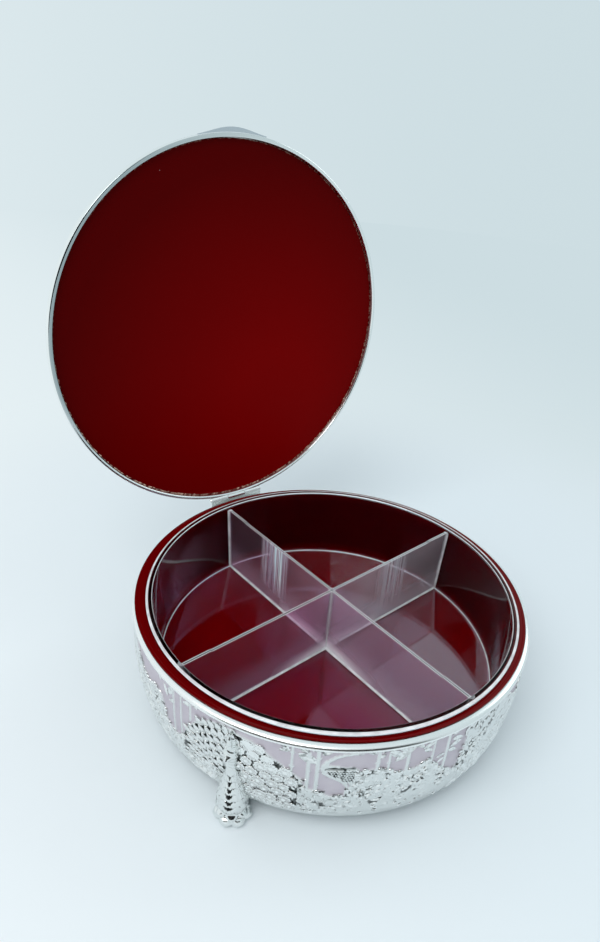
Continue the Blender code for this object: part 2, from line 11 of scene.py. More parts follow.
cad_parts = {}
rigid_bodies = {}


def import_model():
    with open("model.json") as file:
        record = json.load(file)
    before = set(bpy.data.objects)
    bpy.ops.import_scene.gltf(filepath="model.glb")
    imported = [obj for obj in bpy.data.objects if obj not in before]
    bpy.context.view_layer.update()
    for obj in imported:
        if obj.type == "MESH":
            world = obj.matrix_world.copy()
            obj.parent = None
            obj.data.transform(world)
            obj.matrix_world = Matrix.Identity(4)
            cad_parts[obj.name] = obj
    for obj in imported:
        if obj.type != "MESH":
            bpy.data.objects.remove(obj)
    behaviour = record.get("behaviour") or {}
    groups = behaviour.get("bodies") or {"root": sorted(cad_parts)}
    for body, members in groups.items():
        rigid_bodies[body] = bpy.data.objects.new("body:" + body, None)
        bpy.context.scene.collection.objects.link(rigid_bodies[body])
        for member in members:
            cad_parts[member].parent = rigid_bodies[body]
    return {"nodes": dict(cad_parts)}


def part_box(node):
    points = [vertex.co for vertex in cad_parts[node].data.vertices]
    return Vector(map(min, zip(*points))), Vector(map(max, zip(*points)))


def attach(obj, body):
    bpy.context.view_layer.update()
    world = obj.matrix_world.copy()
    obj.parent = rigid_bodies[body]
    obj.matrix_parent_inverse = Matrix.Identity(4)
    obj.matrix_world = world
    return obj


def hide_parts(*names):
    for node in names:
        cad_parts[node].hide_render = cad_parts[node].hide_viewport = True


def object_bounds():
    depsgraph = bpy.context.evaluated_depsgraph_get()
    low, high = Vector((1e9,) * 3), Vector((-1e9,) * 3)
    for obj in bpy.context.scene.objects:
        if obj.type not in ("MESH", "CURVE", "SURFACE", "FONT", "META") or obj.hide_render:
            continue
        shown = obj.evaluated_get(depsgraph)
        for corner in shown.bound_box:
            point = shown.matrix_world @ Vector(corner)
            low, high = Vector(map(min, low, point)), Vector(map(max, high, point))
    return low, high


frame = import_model()
cad_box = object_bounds()
MM = 0.001


# Studio
# A seamless pale paper floor that fades into the backdrop, one soft lamp from the left and one weak one
# from the right, and a black card in front that only shiny metal sees, as photographers of silverware use.
FOCAL_PIXELS = 732.385
FRAME_HEIGHT_PIXELS = 942
SENSOR = 36.0
CLIP_START = 0.01
VIEW_BEARING = math.radians(-35.840)
VIEW_RISE = math.radians(29.761)
VIEW_ROLL = math.radians(4.374)
VIEW_DISTANCE = 469.521 * MM
VIEW_SIDE = -19.714 * MM
VIEW_LIFT = 75.210 * MM
VIEW_CENTRE = Vector((-0.8 * MM, -0.5 * MM, 68.0 * MM))
PAPER_TONES = ("#E6EDF0", "#DCE7EC")
PAPER_DRIFT = (-0.32, 0.22)
PAPER_FADE = (0.26, 0.52)
PAPER_RADIUS = 1.6
PAPER_SIDES = 96
BACKDROP_TONES = ("#F0F9FC", "#CDDDE2")
BACKDROP_DRIFT = (-0.7, 0.9)
SOLE_Z = cad_box[0].z
SKY_TONE = "#F4F9FC"
SKY_LIGHT = 0.78
# Name, place, size in m and power in W
LAMPS = (("key_lamp", (-0.9, -0.35, 1.35), 1.1, 11.0), ("fill_lamp", (1.3, -0.2, 0.9), 0.8, 2.0))
LAMP_AIM = Vector((0, 0, 0.08))
CARD_TONE = "#0A0B0C"
CARD_RADIUS = 1.0
CARD_BEARINGS = (-85, 12)
CARD_HEIGHTS = (0.14, 1.25)
CARD_STRIPS = 24


def linear(code):
    """Linear RGBA of an sRGB hex code."""
    shares = [int(code[i:i + 2], 16) / 255 for i in (1, 3, 5)]
    return [s / 12.92 if s <= 0.04045 else ((s + 0.055) / 1.055) ** 2.4 for s in shares] + [1.0]


def feed(node, *sockets):
    """Feed a node's sockets with (name or number, value or output) pairs."""
    for socket, source in sockets:
        if isinstance(source, bpy.types.NodeSocket):
            node.id_data.links.new(source, node.inputs[socket])
        else:
            node.inputs[socket].default_value = source


def add(tree, kind, *sockets, **settings):
    """Add a node, give it its settings, and feed its sockets."""
    made = tree.nodes.new(kind)
    for name, value in settings.items():
        setattr(made, name, value)
    feed(made, *sockets)
    return made


def new_material(name):
    """A new material, its tree, its shader, and the object's own coordinates."""
    made = bpy.data.materials.new(name)
    made.use_nodes = True
    tree = made.node_tree
    return made, tree, tree.nodes["Principled BSDF"], add(tree, "ShaderNodeTexCoord").outputs["Object"]


def new_object(name, data):
    """Put a mesh, lamp or camera in the scene."""
    made = bpy.data.objects.new(name, data)
    bpy.context.scene.collection.objects.link(made)
    return made


def shaped(name, vertices, faces, finish=None, sharp=None):
    """A mesh object from vertices and faces, smooth but for edges over the sharp angle."""
    mesh = bpy.data.meshes.new(name)
    mesh.from_pydata([tuple(v) for v in vertices], [], [tuple(f) for f in faces])
    mesh.shade_smooth()
    if sharp:
        mesh.set_sharp_from_angle(angle=math.radians(sharp))
    if finish:
        mesh.materials.append(finish)
    return new_object(name, mesh)


level_way = math.cos(VIEW_RISE)
back = Vector((math.sin(VIEW_BEARING) * level_way, -math.cos(VIEW_BEARING) * level_way, math.sin(VIEW_RISE)))
right = Vector((math.cos(VIEW_BEARING), math.sin(VIEW_BEARING), 0))
up = back.cross(right)
rolled_right = right * math.cos(VIEW_ROLL) + up * math.sin(VIEW_ROLL)
rolled_up = up * math.cos(VIEW_ROLL) - right * math.sin(VIEW_ROLL)
camera_data = bpy.data.cameras.new("studio_camera")
camera_data.sensor_width = SENSOR
camera_data.lens = FOCAL_PIXELS / FRAME_HEIGHT_PIXELS * SENSOR
camera_data.clip_start = CLIP_START
camera = new_object("studio_camera", camera_data)
place = back * VIEW_DISTANCE + rolled_right * VIEW_SIDE + rolled_up * VIEW_LIFT + VIEW_CENTRE
turn = Matrix((rolled_right, rolled_up, back)).transposed().to_4x4()
camera.matrix_world = Matrix.Translation(place) @ turn
bpy.context.scene.camera = camera
bpy.context.scene.view_settings.view_transform = "Standard"


def backdrop_tone(tree, place):
    """Pale backdrop colour that is brighter on the side of the main lamp."""
    x = add(tree, "ShaderNodeSeparateXYZ", (0, place)).outputs["X"]
    limits = enumerate(BACKDROP_DRIFT, 1)
    across = add(tree, "ShaderNodeMapRange", (0, x), *limits, interpolation_type="SMOOTHSTEP")
    bright, dim = [linear(code) for code in BACKDROP_TONES]
    tone = add(tree, "ShaderNodeMix", (0, across.outputs[0]), (6, bright), (7, dim), data_type="RGBA")
    return tone.outputs[2]


world = bpy.data.worlds.new("pale_studio")
bpy.context.scene.world = world
world.use_nodes = True
tree = world.node_tree
tree.nodes.clear()
direction = add(tree, "ShaderNodeTexCoord").outputs["Generated"]
seen = add(tree, "ShaderNodeBackground", (0, backdrop_tone(tree, direction)), (1, 1.0))
light = add(tree, "ShaderNodeBackground", (0, linear(SKY_TONE)), (1, SKY_LIGHT))
rays = add(tree, "ShaderNodeLightPath").outputs
sharp_rays = add(
    tree, "ShaderNodeMath", (0, rays["Is Camera Ray"]), (1, rays["Is Glossy Ray"]), operation="MAXIMUM"
)
shown = add(
    tree, "ShaderNodeMath", (0, sharp_rays.outputs[0]), (1, rays["Is Transmission Ray"]), operation="MAXIMUM"
)
mixed = add(tree, "ShaderNodeMixShader", (0, shown.outputs[0]), (1, light.outputs[0]), (2, seen.outputs[0]))
add(tree, "ShaderNodeOutputWorld", (0, mixed.outputs[0]))

# Matt pale paper that glows like the backdrop from a little way off
paper = bpy.data.materials.new("pale_paper")
paper.use_nodes = True
tree = paper.node_tree
tree.nodes.clear()
on_floor = add(tree, "ShaderNodeTexCoord").outputs["Object"]
far = add(tree, "ShaderNodeVectorMath", (0, on_floor), operation="LENGTH")
limits = enumerate(PAPER_FADE, 1)
fade = add(tree, "ShaderNodeMapRange", (0, far.outputs["Value"]), *limits, interpolation_type="SMOOTHSTEP")
# The paper's own colour is painted lighter on the left, the key lamp's side, and darker on the right: painted
# light
x = add(tree, "ShaderNodeSeparateXYZ", (0, on_floor)).outputs["X"]
limits = enumerate(PAPER_DRIFT, 1)
across = add(tree, "ShaderNodeMapRange", (0, x), *limits, interpolation_type="SMOOTHSTEP")
bright, dim = [linear(code) for code in PAPER_TONES]
sheet = add(tree, "ShaderNodeMix", (0, across.outputs[0]), (6, bright), (7, dim), data_type="RGBA")
matt = add(tree, "ShaderNodeBsdfDiffuse", (0, sheet.outputs[2]))
glow = add(tree, "ShaderNodeEmission", (0, backdrop_tone(tree, on_floor)), (1, 1.0))
mixed = add(tree, "ShaderNodeMixShader", (0, fade.outputs[0]), (1, matt.outputs[0]), (2, glow.outputs[0]))
add(tree, "ShaderNodeOutputMaterial", (0, mixed.outputs[0]))
turns = [math.tau * i / PAPER_SIDES for i in range(PAPER_SIDES)]
paper_edge = [(PAPER_RADIUS * math.cos(turn), PAPER_RADIUS * math.sin(turn), SOLE_Z) for turn in turns]
shaped("paper_floor", paper_edge, [range(PAPER_SIDES)], paper)

# Matt black card
black, _, shader, _ = new_material("black_card")
feed(shader, ("Base Color", linear(CARD_TONE)), ("Roughness", 0.9), ("Specular IOR Level", 0.0))
card_points = []
card_faces = []
for i in range(CARD_STRIPS + 1):
    bearing = math.radians(CARD_BEARINGS[0] + (CARD_BEARINGS[1] - CARD_BEARINGS[0]) * i / CARD_STRIPS)
    for height in CARD_HEIGHTS:
        card_points.append((CARD_RADIUS * math.sin(bearing), -CARD_RADIUS * math.cos(bearing), height))
    if i:
        card_faces.append((2 * i - 2, 2 * i, 2 * i + 1, 2 * i - 1))
card = shaped("black_card", card_points, card_faces, black)
card.visible_camera = False
card.visible_diffuse = False
card.visible_shadow = False

for name, where, size, watts in LAMPS:
    lamp = bpy.data.lights.new(name, "AREA")
    lamp.shape = "DISK"
    lamp.size = size
    lamp.energy = watts
    turn = (LAMP_AIM - Vector(where)).to_track_quat("-Z", "Y").to_matrix().to_4x4()
    new_object(name, lamp).matrix_world = Matrix.Translation(where) @ turn


# Embossed wall of the bowl
# Thin brass sheet pressed and chased with bamboo, a long-necked bird, leaves and three fanned tails, then
# silver plated; the flat grounds are a satin lilac silver and the raised work is polished bright.
RIM_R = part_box("rim_band")[1].x
WALL_TOP_R = RIM_R - 1.1 * MM
WALL_TOP_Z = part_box("body_shell")[1].z
WALL_TAPER = 5.7 * MM
CORNER_R = 8.0 * MM
WALL_SWELL = 3.0
BASE_HOLE_R = 92.0 * MM
BASE_LEDGE = 9.0 * MM
SHEET = 1.0 * MM
INSIDE_GAP = 1.6 * SHEET
WALL_REACH_Z = 65.0 * MM
CRIMP_Z = 64.4 * MM
THIRD_COLUMNS = 380
WALL_ROWS = 64
CORNER_ROWS = 8
INSIDE_ROWS = 4
INSIDE_CORNER_ROWS = 3
FOOT_BEARINGS = (-59.5, 60.5, 180.5)
DEGREE = WALL_TOP_R * math.tau / 360 / MM
GROUND_DROP = 0.12
HEAP_RISE = 0.55
STEM_RISE = 0.62
CLUMPS = 560
SMOOTH_FOOT = 11
TAIL_DROP = 0.1
SLIT_DROP = -0.5
CREST_R = RIM_R - 0.25 * MM
# Upper edge of the raised leaf work: degrees from the foot, height in mm
HEAP_EDGE = (
    (-60, 66), (-44, 66), (-41, 58), (-37, 50), (-32, 47), (-28, 52), (-24.5, 50), (-22.5, 33), (-19, 30),
    (-16.5, 33), (-14.5, 43), (-11, 54), (-7, 60), (-3, 63), (2, 61), (5, 60), (7.5, 57), (11.5, 51),
    (15, 45), (17.5, 41), (18.5, 34), (22, 32), (25, 28.5), (28.3, 29), (29.2, 38), (30.5, 49), (34, 51),
    (37.5, 50), (41, 46), (45, 47), (48.5, 50), (50.5, 45), (53, 39), (56, 34), (58.5, 31), (59.6, 40),
    (60, 66),
)
# Bamboo stems: degrees from the foot, lowest and highest end in mm, width in mm
BAMBOO = (
    (-19.5, 31, 63, 1.5), (-16.6, 34, 62, 1.3), (-13.2, 50, 64, 1.1), (15.0, 44, 64.5, 1.5),
    (19.0, 32, 61, 2.0), (21.3, 32, 64.5, 2.1), (35.3, 50, 64.5, 1.8), (38.0, 49, 61, 1.7),
    (43.0, 46, 64.5, 1.8), (49.7, 46, 64.5, 1.4), (54.0, 38, 64.5, 1.6),
)
# Free leaves on the satin ground: degrees from the foot, height in mm, heading from level, length in mm
SPRAYS = (
    (13.6, 62.5, 140, 5), (14.0, 61, 200, 4.4), (17.4, 58.8, -32, 8.5), (17.0, 57.6, -28, 4),
    (20.2, 63.5, 35, 5), (22.2, 63.4, 150, 5), (18.6, 62, 165, 4), (22.4, 61.4, 20, 3.6),
    (34.3, 62.6, 150, 4.6), (36.6, 63.6, 40, 6), (38.6, 61.8, -35, 6.5), (36.6, 60.2, 215, 4),
    (40.6, 57.3, 28, 7.5), (41.6, 56.4, 205, 4), (42.2, 61.6, 150, 4.4), (44.2, 62.6, 20, 4.2),
    (47.2, 60.0, 15, 4.6), (47.4, 58.0, -25, 4.2), (46.4, 61.2, 130, 3.6), (48.6, 63.2, 30, 3.6),
    (55.6, 62.4, 25, 4.6), (55.8, 58.6, -20, 5.4), (55.4, 53.6, 10, 5.2), (55.0, 50.8, -28, 4.6),
    (53.0, 49.5, 200, 3.6), (53.2, 46.0, 220, 3.4), (-21.2, 58, 60, 6), (-22.4, 55, 120, 5),
    (-20.9, 52, 30, 4), (-15.2, 60, 20, 4.4), (-11.2, 62.5, 160, 4.6), (-25.5, 61, 100, 4),
)
# Long-necked bird between the bamboo: neck arched to the right, its breast a white sweep, its wing hatched;
# degrees from the foot and height in mm, with the widths of neck and breast in mm
NECK = ((22.6, 52.5), (23.4, 56.0), (25.0, 59.3), (27.2, 61.6), (29.6, 62.6), (31.3, 62.2))
NECK_WIDTHS = (3.2, 2.7, 2.3, 2.0, 1.9, 1.4)
BREAST = ((22.4, 50.5), (22.9, 47.0), (24.6, 44.6), (26.6, 42.2), (28.2, 39.2), (28.9, 35.0), (28.6, 30.5))
BREAST_WIDTHS = (2.8, 2.8, 2.4, 2.2, 2.0, 1.7, 1.4)
WING_LOW = ((22.8, 24.6, 26.6, 28.4, 30.5), (50.2, 45.4, 43.2, 40.2, 37))
WING_HIGH = ((22.8, 24.0, 27.0, 29.5, 31.5), (52.5, 54.0, 53.0, 52.8, 50))


def wall_radius(height):
    """Plain outer radius of the wall at a height."""
    share = np.clip((height - CORNER_R) / (WALL_TOP_Z - CORNER_R), 0, 1)
    return WALL_TOP_R - WALL_TAPER + WALL_TAPER * (1 - (1 - share) ** WALL_SWELL)


def dome(distance, half_width, rise):
    """Rounded ridge or boss over a field of distances."""
    return rise * np.sqrt(np.clip(1 - (distance / half_width) ** 2, 0, 1))


def distance_to_line(across, height, first, second):
    """Distance of every point of the relief from a straight line between two places, all in mm."""
    run, climb = second[0] - first[0], second[1] - first[1]
    share = ((across - first[0]) * run + (height - first[1]) * climb) / (run * run + climb * climb)
    share = np.clip(share, 0, 1)
    return np.hypot(across - first[0] - share * run, height - first[1] - share * climb), share


def heap_room(bearing, height):
    """How far below the leaf work's upper edge a place lies, in mm."""
    return np.interp(bearing, *zip(*HEAP_EDGE)) - height


def smooth_low(bearing, height):
    """Whether a place lies on the ground that was left smooth, low down between two feet."""
    return (bearing > 29) & (height < 23 + 5 * np.sin(bearing))


degrees, heights = np.meshgrid(
    (np.arange(THIRD_COLUMNS) / THIRD_COLUMNS - 0.5) * 120,
    np.linspace(CORNER_R, WALL_REACH_Z, WALL_ROWS) / MM,
)
across = degrees * DEGREE
heap = heap_room(degrees, heights)
rng = np.random.default_rng(11)
clumps = np.zeros_like(across)
for _ in range(CLUMPS):
    middle, level, size = rng.uniform(-60, 60) * DEGREE, rng.uniform(4, 64), rng.uniform(2.2, 4.4)
    for wrap in (-120 * DEGREE, 0, 120 * DEGREE):
        gap = np.hypot(across - middle - wrap, heights - level)
        clumps = np.maximum(clumps, dome(gap, size, 0.13 * size))
raised = np.clip(heap / 0.8, 0, 1)
relief = -GROUND_DROP + raised * (GROUND_DROP + HEAP_RISE + clumps)

# Low feather barbs that gather at each foot: towards its sole on the left, out from its breast on the right
left_turn = np.arctan2(heights + 6, -across)
right_turn = np.arctan2(26 - heights, across)
barb_left = (across < 0) & (across > -27) & (heights < 24 + across * 0.2)
barb_right = (across > 0) & (across < 24) & (heights < 15 - across * 0.15)
for here, turn, count in ((barb_left, left_turn, 20), (barb_right, right_turn, 17)):
    relief = np.where(here, HEAP_RISE - 0.1 + 0.34 * np.abs(np.sin(turn * count)), relief)

stems = np.zeros_like(across)
for bearing, low, high, width in BAMBOO:
    gap, _ = distance_to_line(across, heights, (bearing * DEGREE, low), (bearing * DEGREE, high))
    joint = np.abs((heights - low) % 10.5 - 5.2) < 0.6
    reach = np.where(joint, width * 0.7, width * 0.5)
    relief = np.where(gap < reach, np.maximum(relief, dome(gap, reach * 1.15, STEM_RISE)), relief)
    stems = np.maximum(stems, gap < reach)

for path, widths in ((NECK, NECK_WIDTHS), (BREAST, BREAST_WIDTHS)):
    for (first, second), (wide, narrow) in zip(zip(path, path[1:]), zip(widths, widths[1:])):
        ends = [(bearing * DEGREE, height) for bearing, height in (first, second)]
        gap, share = distance_to_line(across, heights, *ends)
        reach = (wide + (narrow - wide) * share) / 2
        relief = np.where(gap < reach, np.maximum(relief, dome(gap, reach * 1.1, STEM_RISE)), relief)
        stems = np.maximum(stems, gap < reach)
wing = (heights > np.interp(degrees, *WING_LOW)) & (heights < np.interp(degrees, *WING_HIGH))
wing = wing & (degrees > 22.8) & (degrees < 31)
barbs = 0.24 * np.sin((across * 0.5 + heights) * math.tau / 2.0) + HEAP_RISE
relief = np.where(wing, np.maximum(relief, barbs), relief)
slit, _ = distance_to_line(across, heights, (23.4 * DEGREE, 50.6), (29.8 * DEGREE, 51.6))
relief = np.where(slit < 0.7, SLIT_DROP, relief)
# The satin ground runs on up to the crimped upper edge, which tucks under the band
relief = np.where(heights > CRIMP_Z / MM, np.minimum(relief, 0.3), relief)
relief *= np.clip((heights * MM - CORNER_R) / (4 * MM) + 0.35, 0, 1)
bright = np.maximum(np.maximum(raised, stems), wing).astype(float)
# The hollow mark paints the bird's slit and the low ground between the leaf clumps dark: painted shade
hollow = (slit < 0.8).astype(float)
packed = (heap > 1.2) & ~smooth_low(degrees, heights) & (heights > SMOOTH_FOOT) & ~barb_left & ~barb_right
hollow = np.maximum(hollow, np.where(packed, np.clip(1.0 - clumps / 0.24, 0, 0.95), 0))

# The fanned tails either side of each foot stand on a lowered ground that the hollow mark paints near
# black: painted shade in the gaps between their eyes and feathers
tail_left = (degrees < -0.5) & (degrees > -15.0) & (heap > 2.2) & (heights > 20)
tail_right = (degrees > 0.5) & (degrees < 17.0) & (heap > 2.2) & (heights > 13)
relief = np.where(tail_left | tail_right, TAIL_DROP, relief)
hollow = np.where(tail_left, 1.0, np.where(tail_right, 0.95, hollow))
relief = np.minimum(relief, (CREST_R - wall_radius(heights * MM)) / MM)

# Rings of the sheet, from its hole out and up its face, and down again inside: radius, height, bright, hollow
corner_centre = WALL_TOP_R - WALL_TAPER - CORNER_R
rings = [(BASE_HOLE_R, 0.0, 1, 0), (BASE_HOLE_R + BASE_LEDGE, 0.0, 1, 0)]
for i in range(CORNER_ROWS):
    angle = math.radians(-90 + 90 * i / CORNER_ROWS)
    rings.append((corner_centre + CORNER_R * math.cos(angle), CORNER_R + CORNER_R * math.sin(angle), 1, 0))
for i in range(WALL_ROWS):
    height = heights[i, 0] * MM
    radius = wall_radius(height) + np.tile(relief[i], 3) * MM
    rings.append((radius, height, np.tile(bright[i], 3), np.tile(hollow[i], 3)))
for i in range(INSIDE_ROWS + 1):
    height = WALL_REACH_Z + (CORNER_R - WALL_REACH_Z) * i / INSIDE_ROWS
    rings.append((wall_radius(height) - INSIDE_GAP, height, 0, 0))
inner = CORNER_R - INSIDE_GAP
for i in range(1, INSIDE_CORNER_ROWS + 1):
    angle = math.radians(-90 * i / INSIDE_CORNER_ROWS)
    rings.append((corner_centre + inner * math.cos(angle), CORNER_R + inner * math.sin(angle), 0, 0))
rings.append((BASE_HOLE_R, SHEET, 0, 0))
columns = THIRD_COLUMNS * 3
bearings = np.radians((np.arange(columns) / THIRD_COLUMNS - 0.5) * 120 + FOOT_BEARINGS[0])


def ring_points(rings, bearings):
    """Points of rings round Z; a ring's radius and height may differ from point to point."""
    points = []
    for radius, height, *_ in rings:
        level = np.full(len(bearings), height)
        points.append(np.column_stack([radius * np.sin(bearings), -radius * np.cos(bearings), level]))
    return np.concatenate(points)


def grid_faces(row_count, column_count, closed_rows=True):
    """Quads of a tube of rings, joined end to start round it, and from the last ring to the first."""
    ring = np.arange(column_count)
    after = (ring + 1) % column_count
    faces = []
    for i in range(row_count if closed_rows else row_count - 1):
        low = i * column_count
        high = (i + 1) % row_count * column_count
        faces.append(np.column_stack([low + ring, low + after, high + after, high + ring]))
    return np.concatenate(faces)


def capped_faces(row_count, column_count):
    """Quads of a tube of rings with a flat face on its first and its last ring."""
    top = (row_count - 1) * column_count
    sides = grid_faces(row_count, column_count, closed_rows=False)
    return [*sides, range(column_count)[::-1], range(top, top + column_count)]


def mark(mesh, name, values, kind="FLOAT", field="value"):
    """Write a value on every point of a mesh, for nodes to read."""
    mesh.attributes.new(name, kind, "POINT").data.foreach_set(field, np.array(values, np.float32).ravel())


def plate_finish(name, colour, roughness, grain_mm, depth_mm, strength=0.35):
    """Silver plate: bright metal with hairline polishing marks and soft hand-rubbed unevenness."""
    made, tree, shader, spot = new_material(name)
    cloud = add(tree, "ShaderNodeTexNoise", (0, spot), ("Scale", 1 / (14 * MM)), ("Detail", 3.0)).outputs[0]
    base = linear(colour)
    dull = [c * 0.93 for c in base[:3]] + [1.0]
    tone = add(tree, "ShaderNodeMix", (0, cloud), (6, dull), (7, base), data_type="RGBA").outputs[2]
    wear = add(tree, "ShaderNodeMapRange", (0, cloud), (3, roughness * 0.7), (4, roughness * 1.4)).outputs[0]
    grain = add(tree, "ShaderNodeTexNoise", (0, spot), ("Scale", 1 / (grain_mm * MM)), ("Detail", 2.0))
    relief = (("Strength", strength), ("Distance", depth_mm * MM), ("Height", grain.outputs[0]))
    marks = add(tree, "ShaderNodeBump", *relief).outputs[0]
    feed(shader, ("Metallic", 1.0), ("Base Color", tone), ("Roughness", wear), ("Normal", marks))
    return made, tree, shader, spot, tone, wear


# Pressed sheet, silver plated: polished on the raised work, satin lilac in the grounds, and painted
# near black in the cuts and in the gaps between clumps, which is painted shade
embossed, tree, shader, spot, tone, wear = plate_finish("embossed_silver_plate", "#E4E7E6", 0.13, 1.4, 0.10)
raised_mask = add(tree, "ShaderNodeAttribute", attribute_name="bright").outputs["Fac"]
painted_shade_mask = add(tree, "ShaderNodeAttribute", attribute_name="hollow").outputs["Fac"]
cloud = add(tree, "ShaderNodeTexNoise", (0, spot), ("Scale", 1 / (9 * MM)), ("Detail", 4.0)).outputs[0]
lilac, pale = linear("#B9B1BC"), linear("#CDC8CF")
satin = add(tree, "ShaderNodeMix", (0, cloud), (6, lilac), (7, pale), data_type="RGBA").outputs[2]
ground = add(tree, "ShaderNodeMix", (0, raised_mask), (6, satin), (7, tone), data_type="RGBA").outputs[2]
shade_painted_ground = add(tree, "ShaderNodeMix", (0, painted_shade_mask), (6, ground), (7, linear("#3E4241")), data_type="RGBA")
rough = add(tree, "ShaderNodeMix", (0, raised_mask), (2, 0.55), (3, wear), data_type="FLOAT")
metal = add(tree, "ShaderNodeMapRange", (0, raised_mask), (3, 0.35), (4, 1.0))
feed(
    shader, ("Base Color", shade_painted_ground.outputs[2]), ("Roughness", rough.outputs[0]),
    ("Metallic", metal.outputs[0]),
)

wall = shaped("embossed_wall", ring_points(rings, bearings), grid_faces(len(rings), columns), embossed)
for name, index in (("bright", 2), ("hollow", 3)):
    mark(wall.data, name, np.concatenate([np.broadcast_to(ring[index], columns) for ring in rings]))
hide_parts("body_shell")
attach(wall, "bowl")


# Leaves, scales and feathers of the wall
# Small raised shapes that the chasing tools left all over the heaps: pointed leaves, round eyes of the
# peacock's train with a raised ring, and its feathers. Each kind is one low shape set along the wall.
def small_shape(name, rings, sides, stretch=1.0, point=0.0, fringe=0.0, fringe_count=0, rib=0.0):
    """A low boss of (radius, height) rings: stretched and pointed along X, fringed edge, rib along X."""
    vertices = []
    for radius, height in rings:
        for i in range(sides):
            angle = math.tau * i / sides
            reach = radius * (1 + fringe * math.cos(fringe_count * angle))
            x = reach * stretch * math.cos(angle) * (1 + point * max(0, math.cos(angle)) ** 3)
            y = reach * math.sin(angle)
            wave = 0.8 * fringe * radius ** 2 * math.cos(fringe_count * angle)
            vertices.append((x, y, height + wave + rib * (1 - radius) * math.exp(-(y / 0.16) ** 2)))
    return shaped(name, vertices, capped_faces(len(rings), sides))


def roof_leaf(name, height, skirt, width=1.0):
    """A pointed leaf like a low roof, its two sides falling from a sharp middle rib."""
    edge = (
        (-1.0, 0.0), (-0.6, -0.36), (0.05, -0.5), (0.65, -0.32), (1.2, 0.0), (0.65, 0.32), (0.05, 0.5),
        (-0.6, 0.36),
    )
    vertices = [(x, y * width, skirt) for x, y in edge] + [(x, y * width, 0.0) for x, y in edge]
    vertices += [(-0.55, 0.0, height * 0.7), (0.05, 0.0, height), (0.68, 0.0, height * 0.7)]
    faces = [range(8)[::-1], *grid_faces(2, 8, closed_rows=False)]
    faces += [(8, 9, 16), (9, 10, 17, 16), (10, 11, 18, 17), (11, 12, 18)]
    faces += [(12, 13, 18), (13, 14, 17, 18), (14, 15, 16, 17), (15, 8, 16)]
    return shaped(name, vertices, faces, sharp=20)


def set_along(name, shape, spots, finish, size, ceiling):
    """Geometry Nodes: set a shape on every spot, turned and sized by the spot, as one plain mesh."""
    tree = bpy.data.node_groups.new(name + "_setting", "GeometryNodeTree")
    keys = {}
    kinds = {"Spots": "Geometry", "Size": "Float", "Shape": "Object", "Finish": "Material"}
    for label, kind in kinds.items():
        socket = tree.interface.new_socket(label, in_out="INPUT", socket_type="NodeSocket" + kind)
        keys[label] = socket.identifier
    tree.interface.new_socket("Mesh", in_out="OUTPUT", socket_type="NodeSocketGeometry")
    given = add(tree, "NodeGroupInput").outputs
    source = add(tree, "GeometryNodeObjectInfo", ("Object", given["Shape"]), ("As Instance", True))
    turn = add(tree, "GeometryNodeInputNamedAttribute", ("Name", "turn"), data_type="FLOAT_VECTOR")
    scale = add(tree, "GeometryNodeInputNamedAttribute", ("Name", "size"), data_type="FLOAT")
    grown = add(
        tree, "ShaderNodeMath", (0, scale.outputs["Attribute"]), (1, given["Size"]), operation="MULTIPLY"
    )
    laid = add(
        tree, "GeometryNodeInstanceOnPoints", ("Points", given["Spots"]),
        ("Instance", source.outputs["Geometry"]), ("Rotation", turn.outputs["Attribute"]),
        ("Scale", grown.outputs[0]),
    )
    real = add(tree, "GeometryNodeRealizeInstances", ("Geometry", laid.outputs["Instances"]))
    sockets = (("Geometry", real.outputs[0]), ("Material", given["Finish"]))
    coated = add(tree, "GeometryNodeSetMaterial", *sockets)
    add(tree, "NodeGroupOutput", (0, coated.outputs[0]))

    cloud = bpy.data.meshes.new(name + "_spots")
    cloud.from_pydata([tuple(spot[0]) for spot in spots], [], [])
    mark(cloud, "turn", [spot[1].to_euler() for spot in spots], "FLOAT_VECTOR", "vector")
    mark(cloud, "size", [spot[2] for spot in spots])
    holder = new_object(name + "_holder", cloud)
    setting = holder.modifiers.new("setting", "NODES")
    setting.node_group = tree
    for label, value in (("Size", size), ("Shape", shape), ("Finish", finish)):
        setting[keys[label]] = value
    bpy.context.view_layer.update()
    evaluated = holder.evaluated_get(bpy.context.evaluated_depsgraph_get())
    mesh = bpy.data.meshes.new_from_object(evaluated)
    mesh.name = name
    for attribute in ("turn", "size"):
        if attribute in mesh.attributes:
            mesh.attributes.remove(mesh.attributes[attribute])
    # Nothing reaches out past the band or up over the ceiling
    points = np.empty(len(mesh.vertices) * 3, np.float32)
    mesh.vertices.foreach_get("co", points)
    points = points.reshape(-1, 3)
    reach = np.hypot(points[:, 0], points[:, 1])
    points[:, :2] *= np.minimum(1.0, CREST_R / reach)[:, None]
    points[:, 2] = np.minimum(points[:, 2], ceiling)
    mesh.vertices.foreach_set("co", points.ravel())
    bpy.data.objects.remove(holder)
    bpy.data.objects.remove(shape)
    return new_object(name, mesh)


def wall_spot(bearing, height, heading, size, lift=0.0, lean=0.0):
    """A place on the wall, its turn (heading from level, tip leaning out) and its size."""
    angle = math.radians(bearing)
    radius = float(wall_radius(height * MM)) + lift * MM
    slope = math.atan2(float(wall_radius(height * MM + MM) - wall_radius(height * MM - MM)), 2 * MM)
    turned = Matrix.Rotation(angle, 3, "Z") @ Matrix.Rotation(math.pi / 2 + slope, 3, "X")
    for degrees, axis in ((heading, "Z"), (-lean, "Y")):
        turned = turned @ Matrix.Rotation(math.radians(degrees), 3, axis)
    return (radius * math.sin(angle), -radius * math.cos(angle), height * MM), turned, size


def set_spot(spots, bearing, *place):
    """Note a place on the wall, with its bearing counted from the foot that the loop has come to."""
    spots.append(wall_spot(foot_bearing + bearing, *place))


def polar(reach, heading):
    """Along and up, from a distance and a heading from level."""
    return reach * math.cos(math.radians(heading)), reach * math.sin(math.radians(heading))


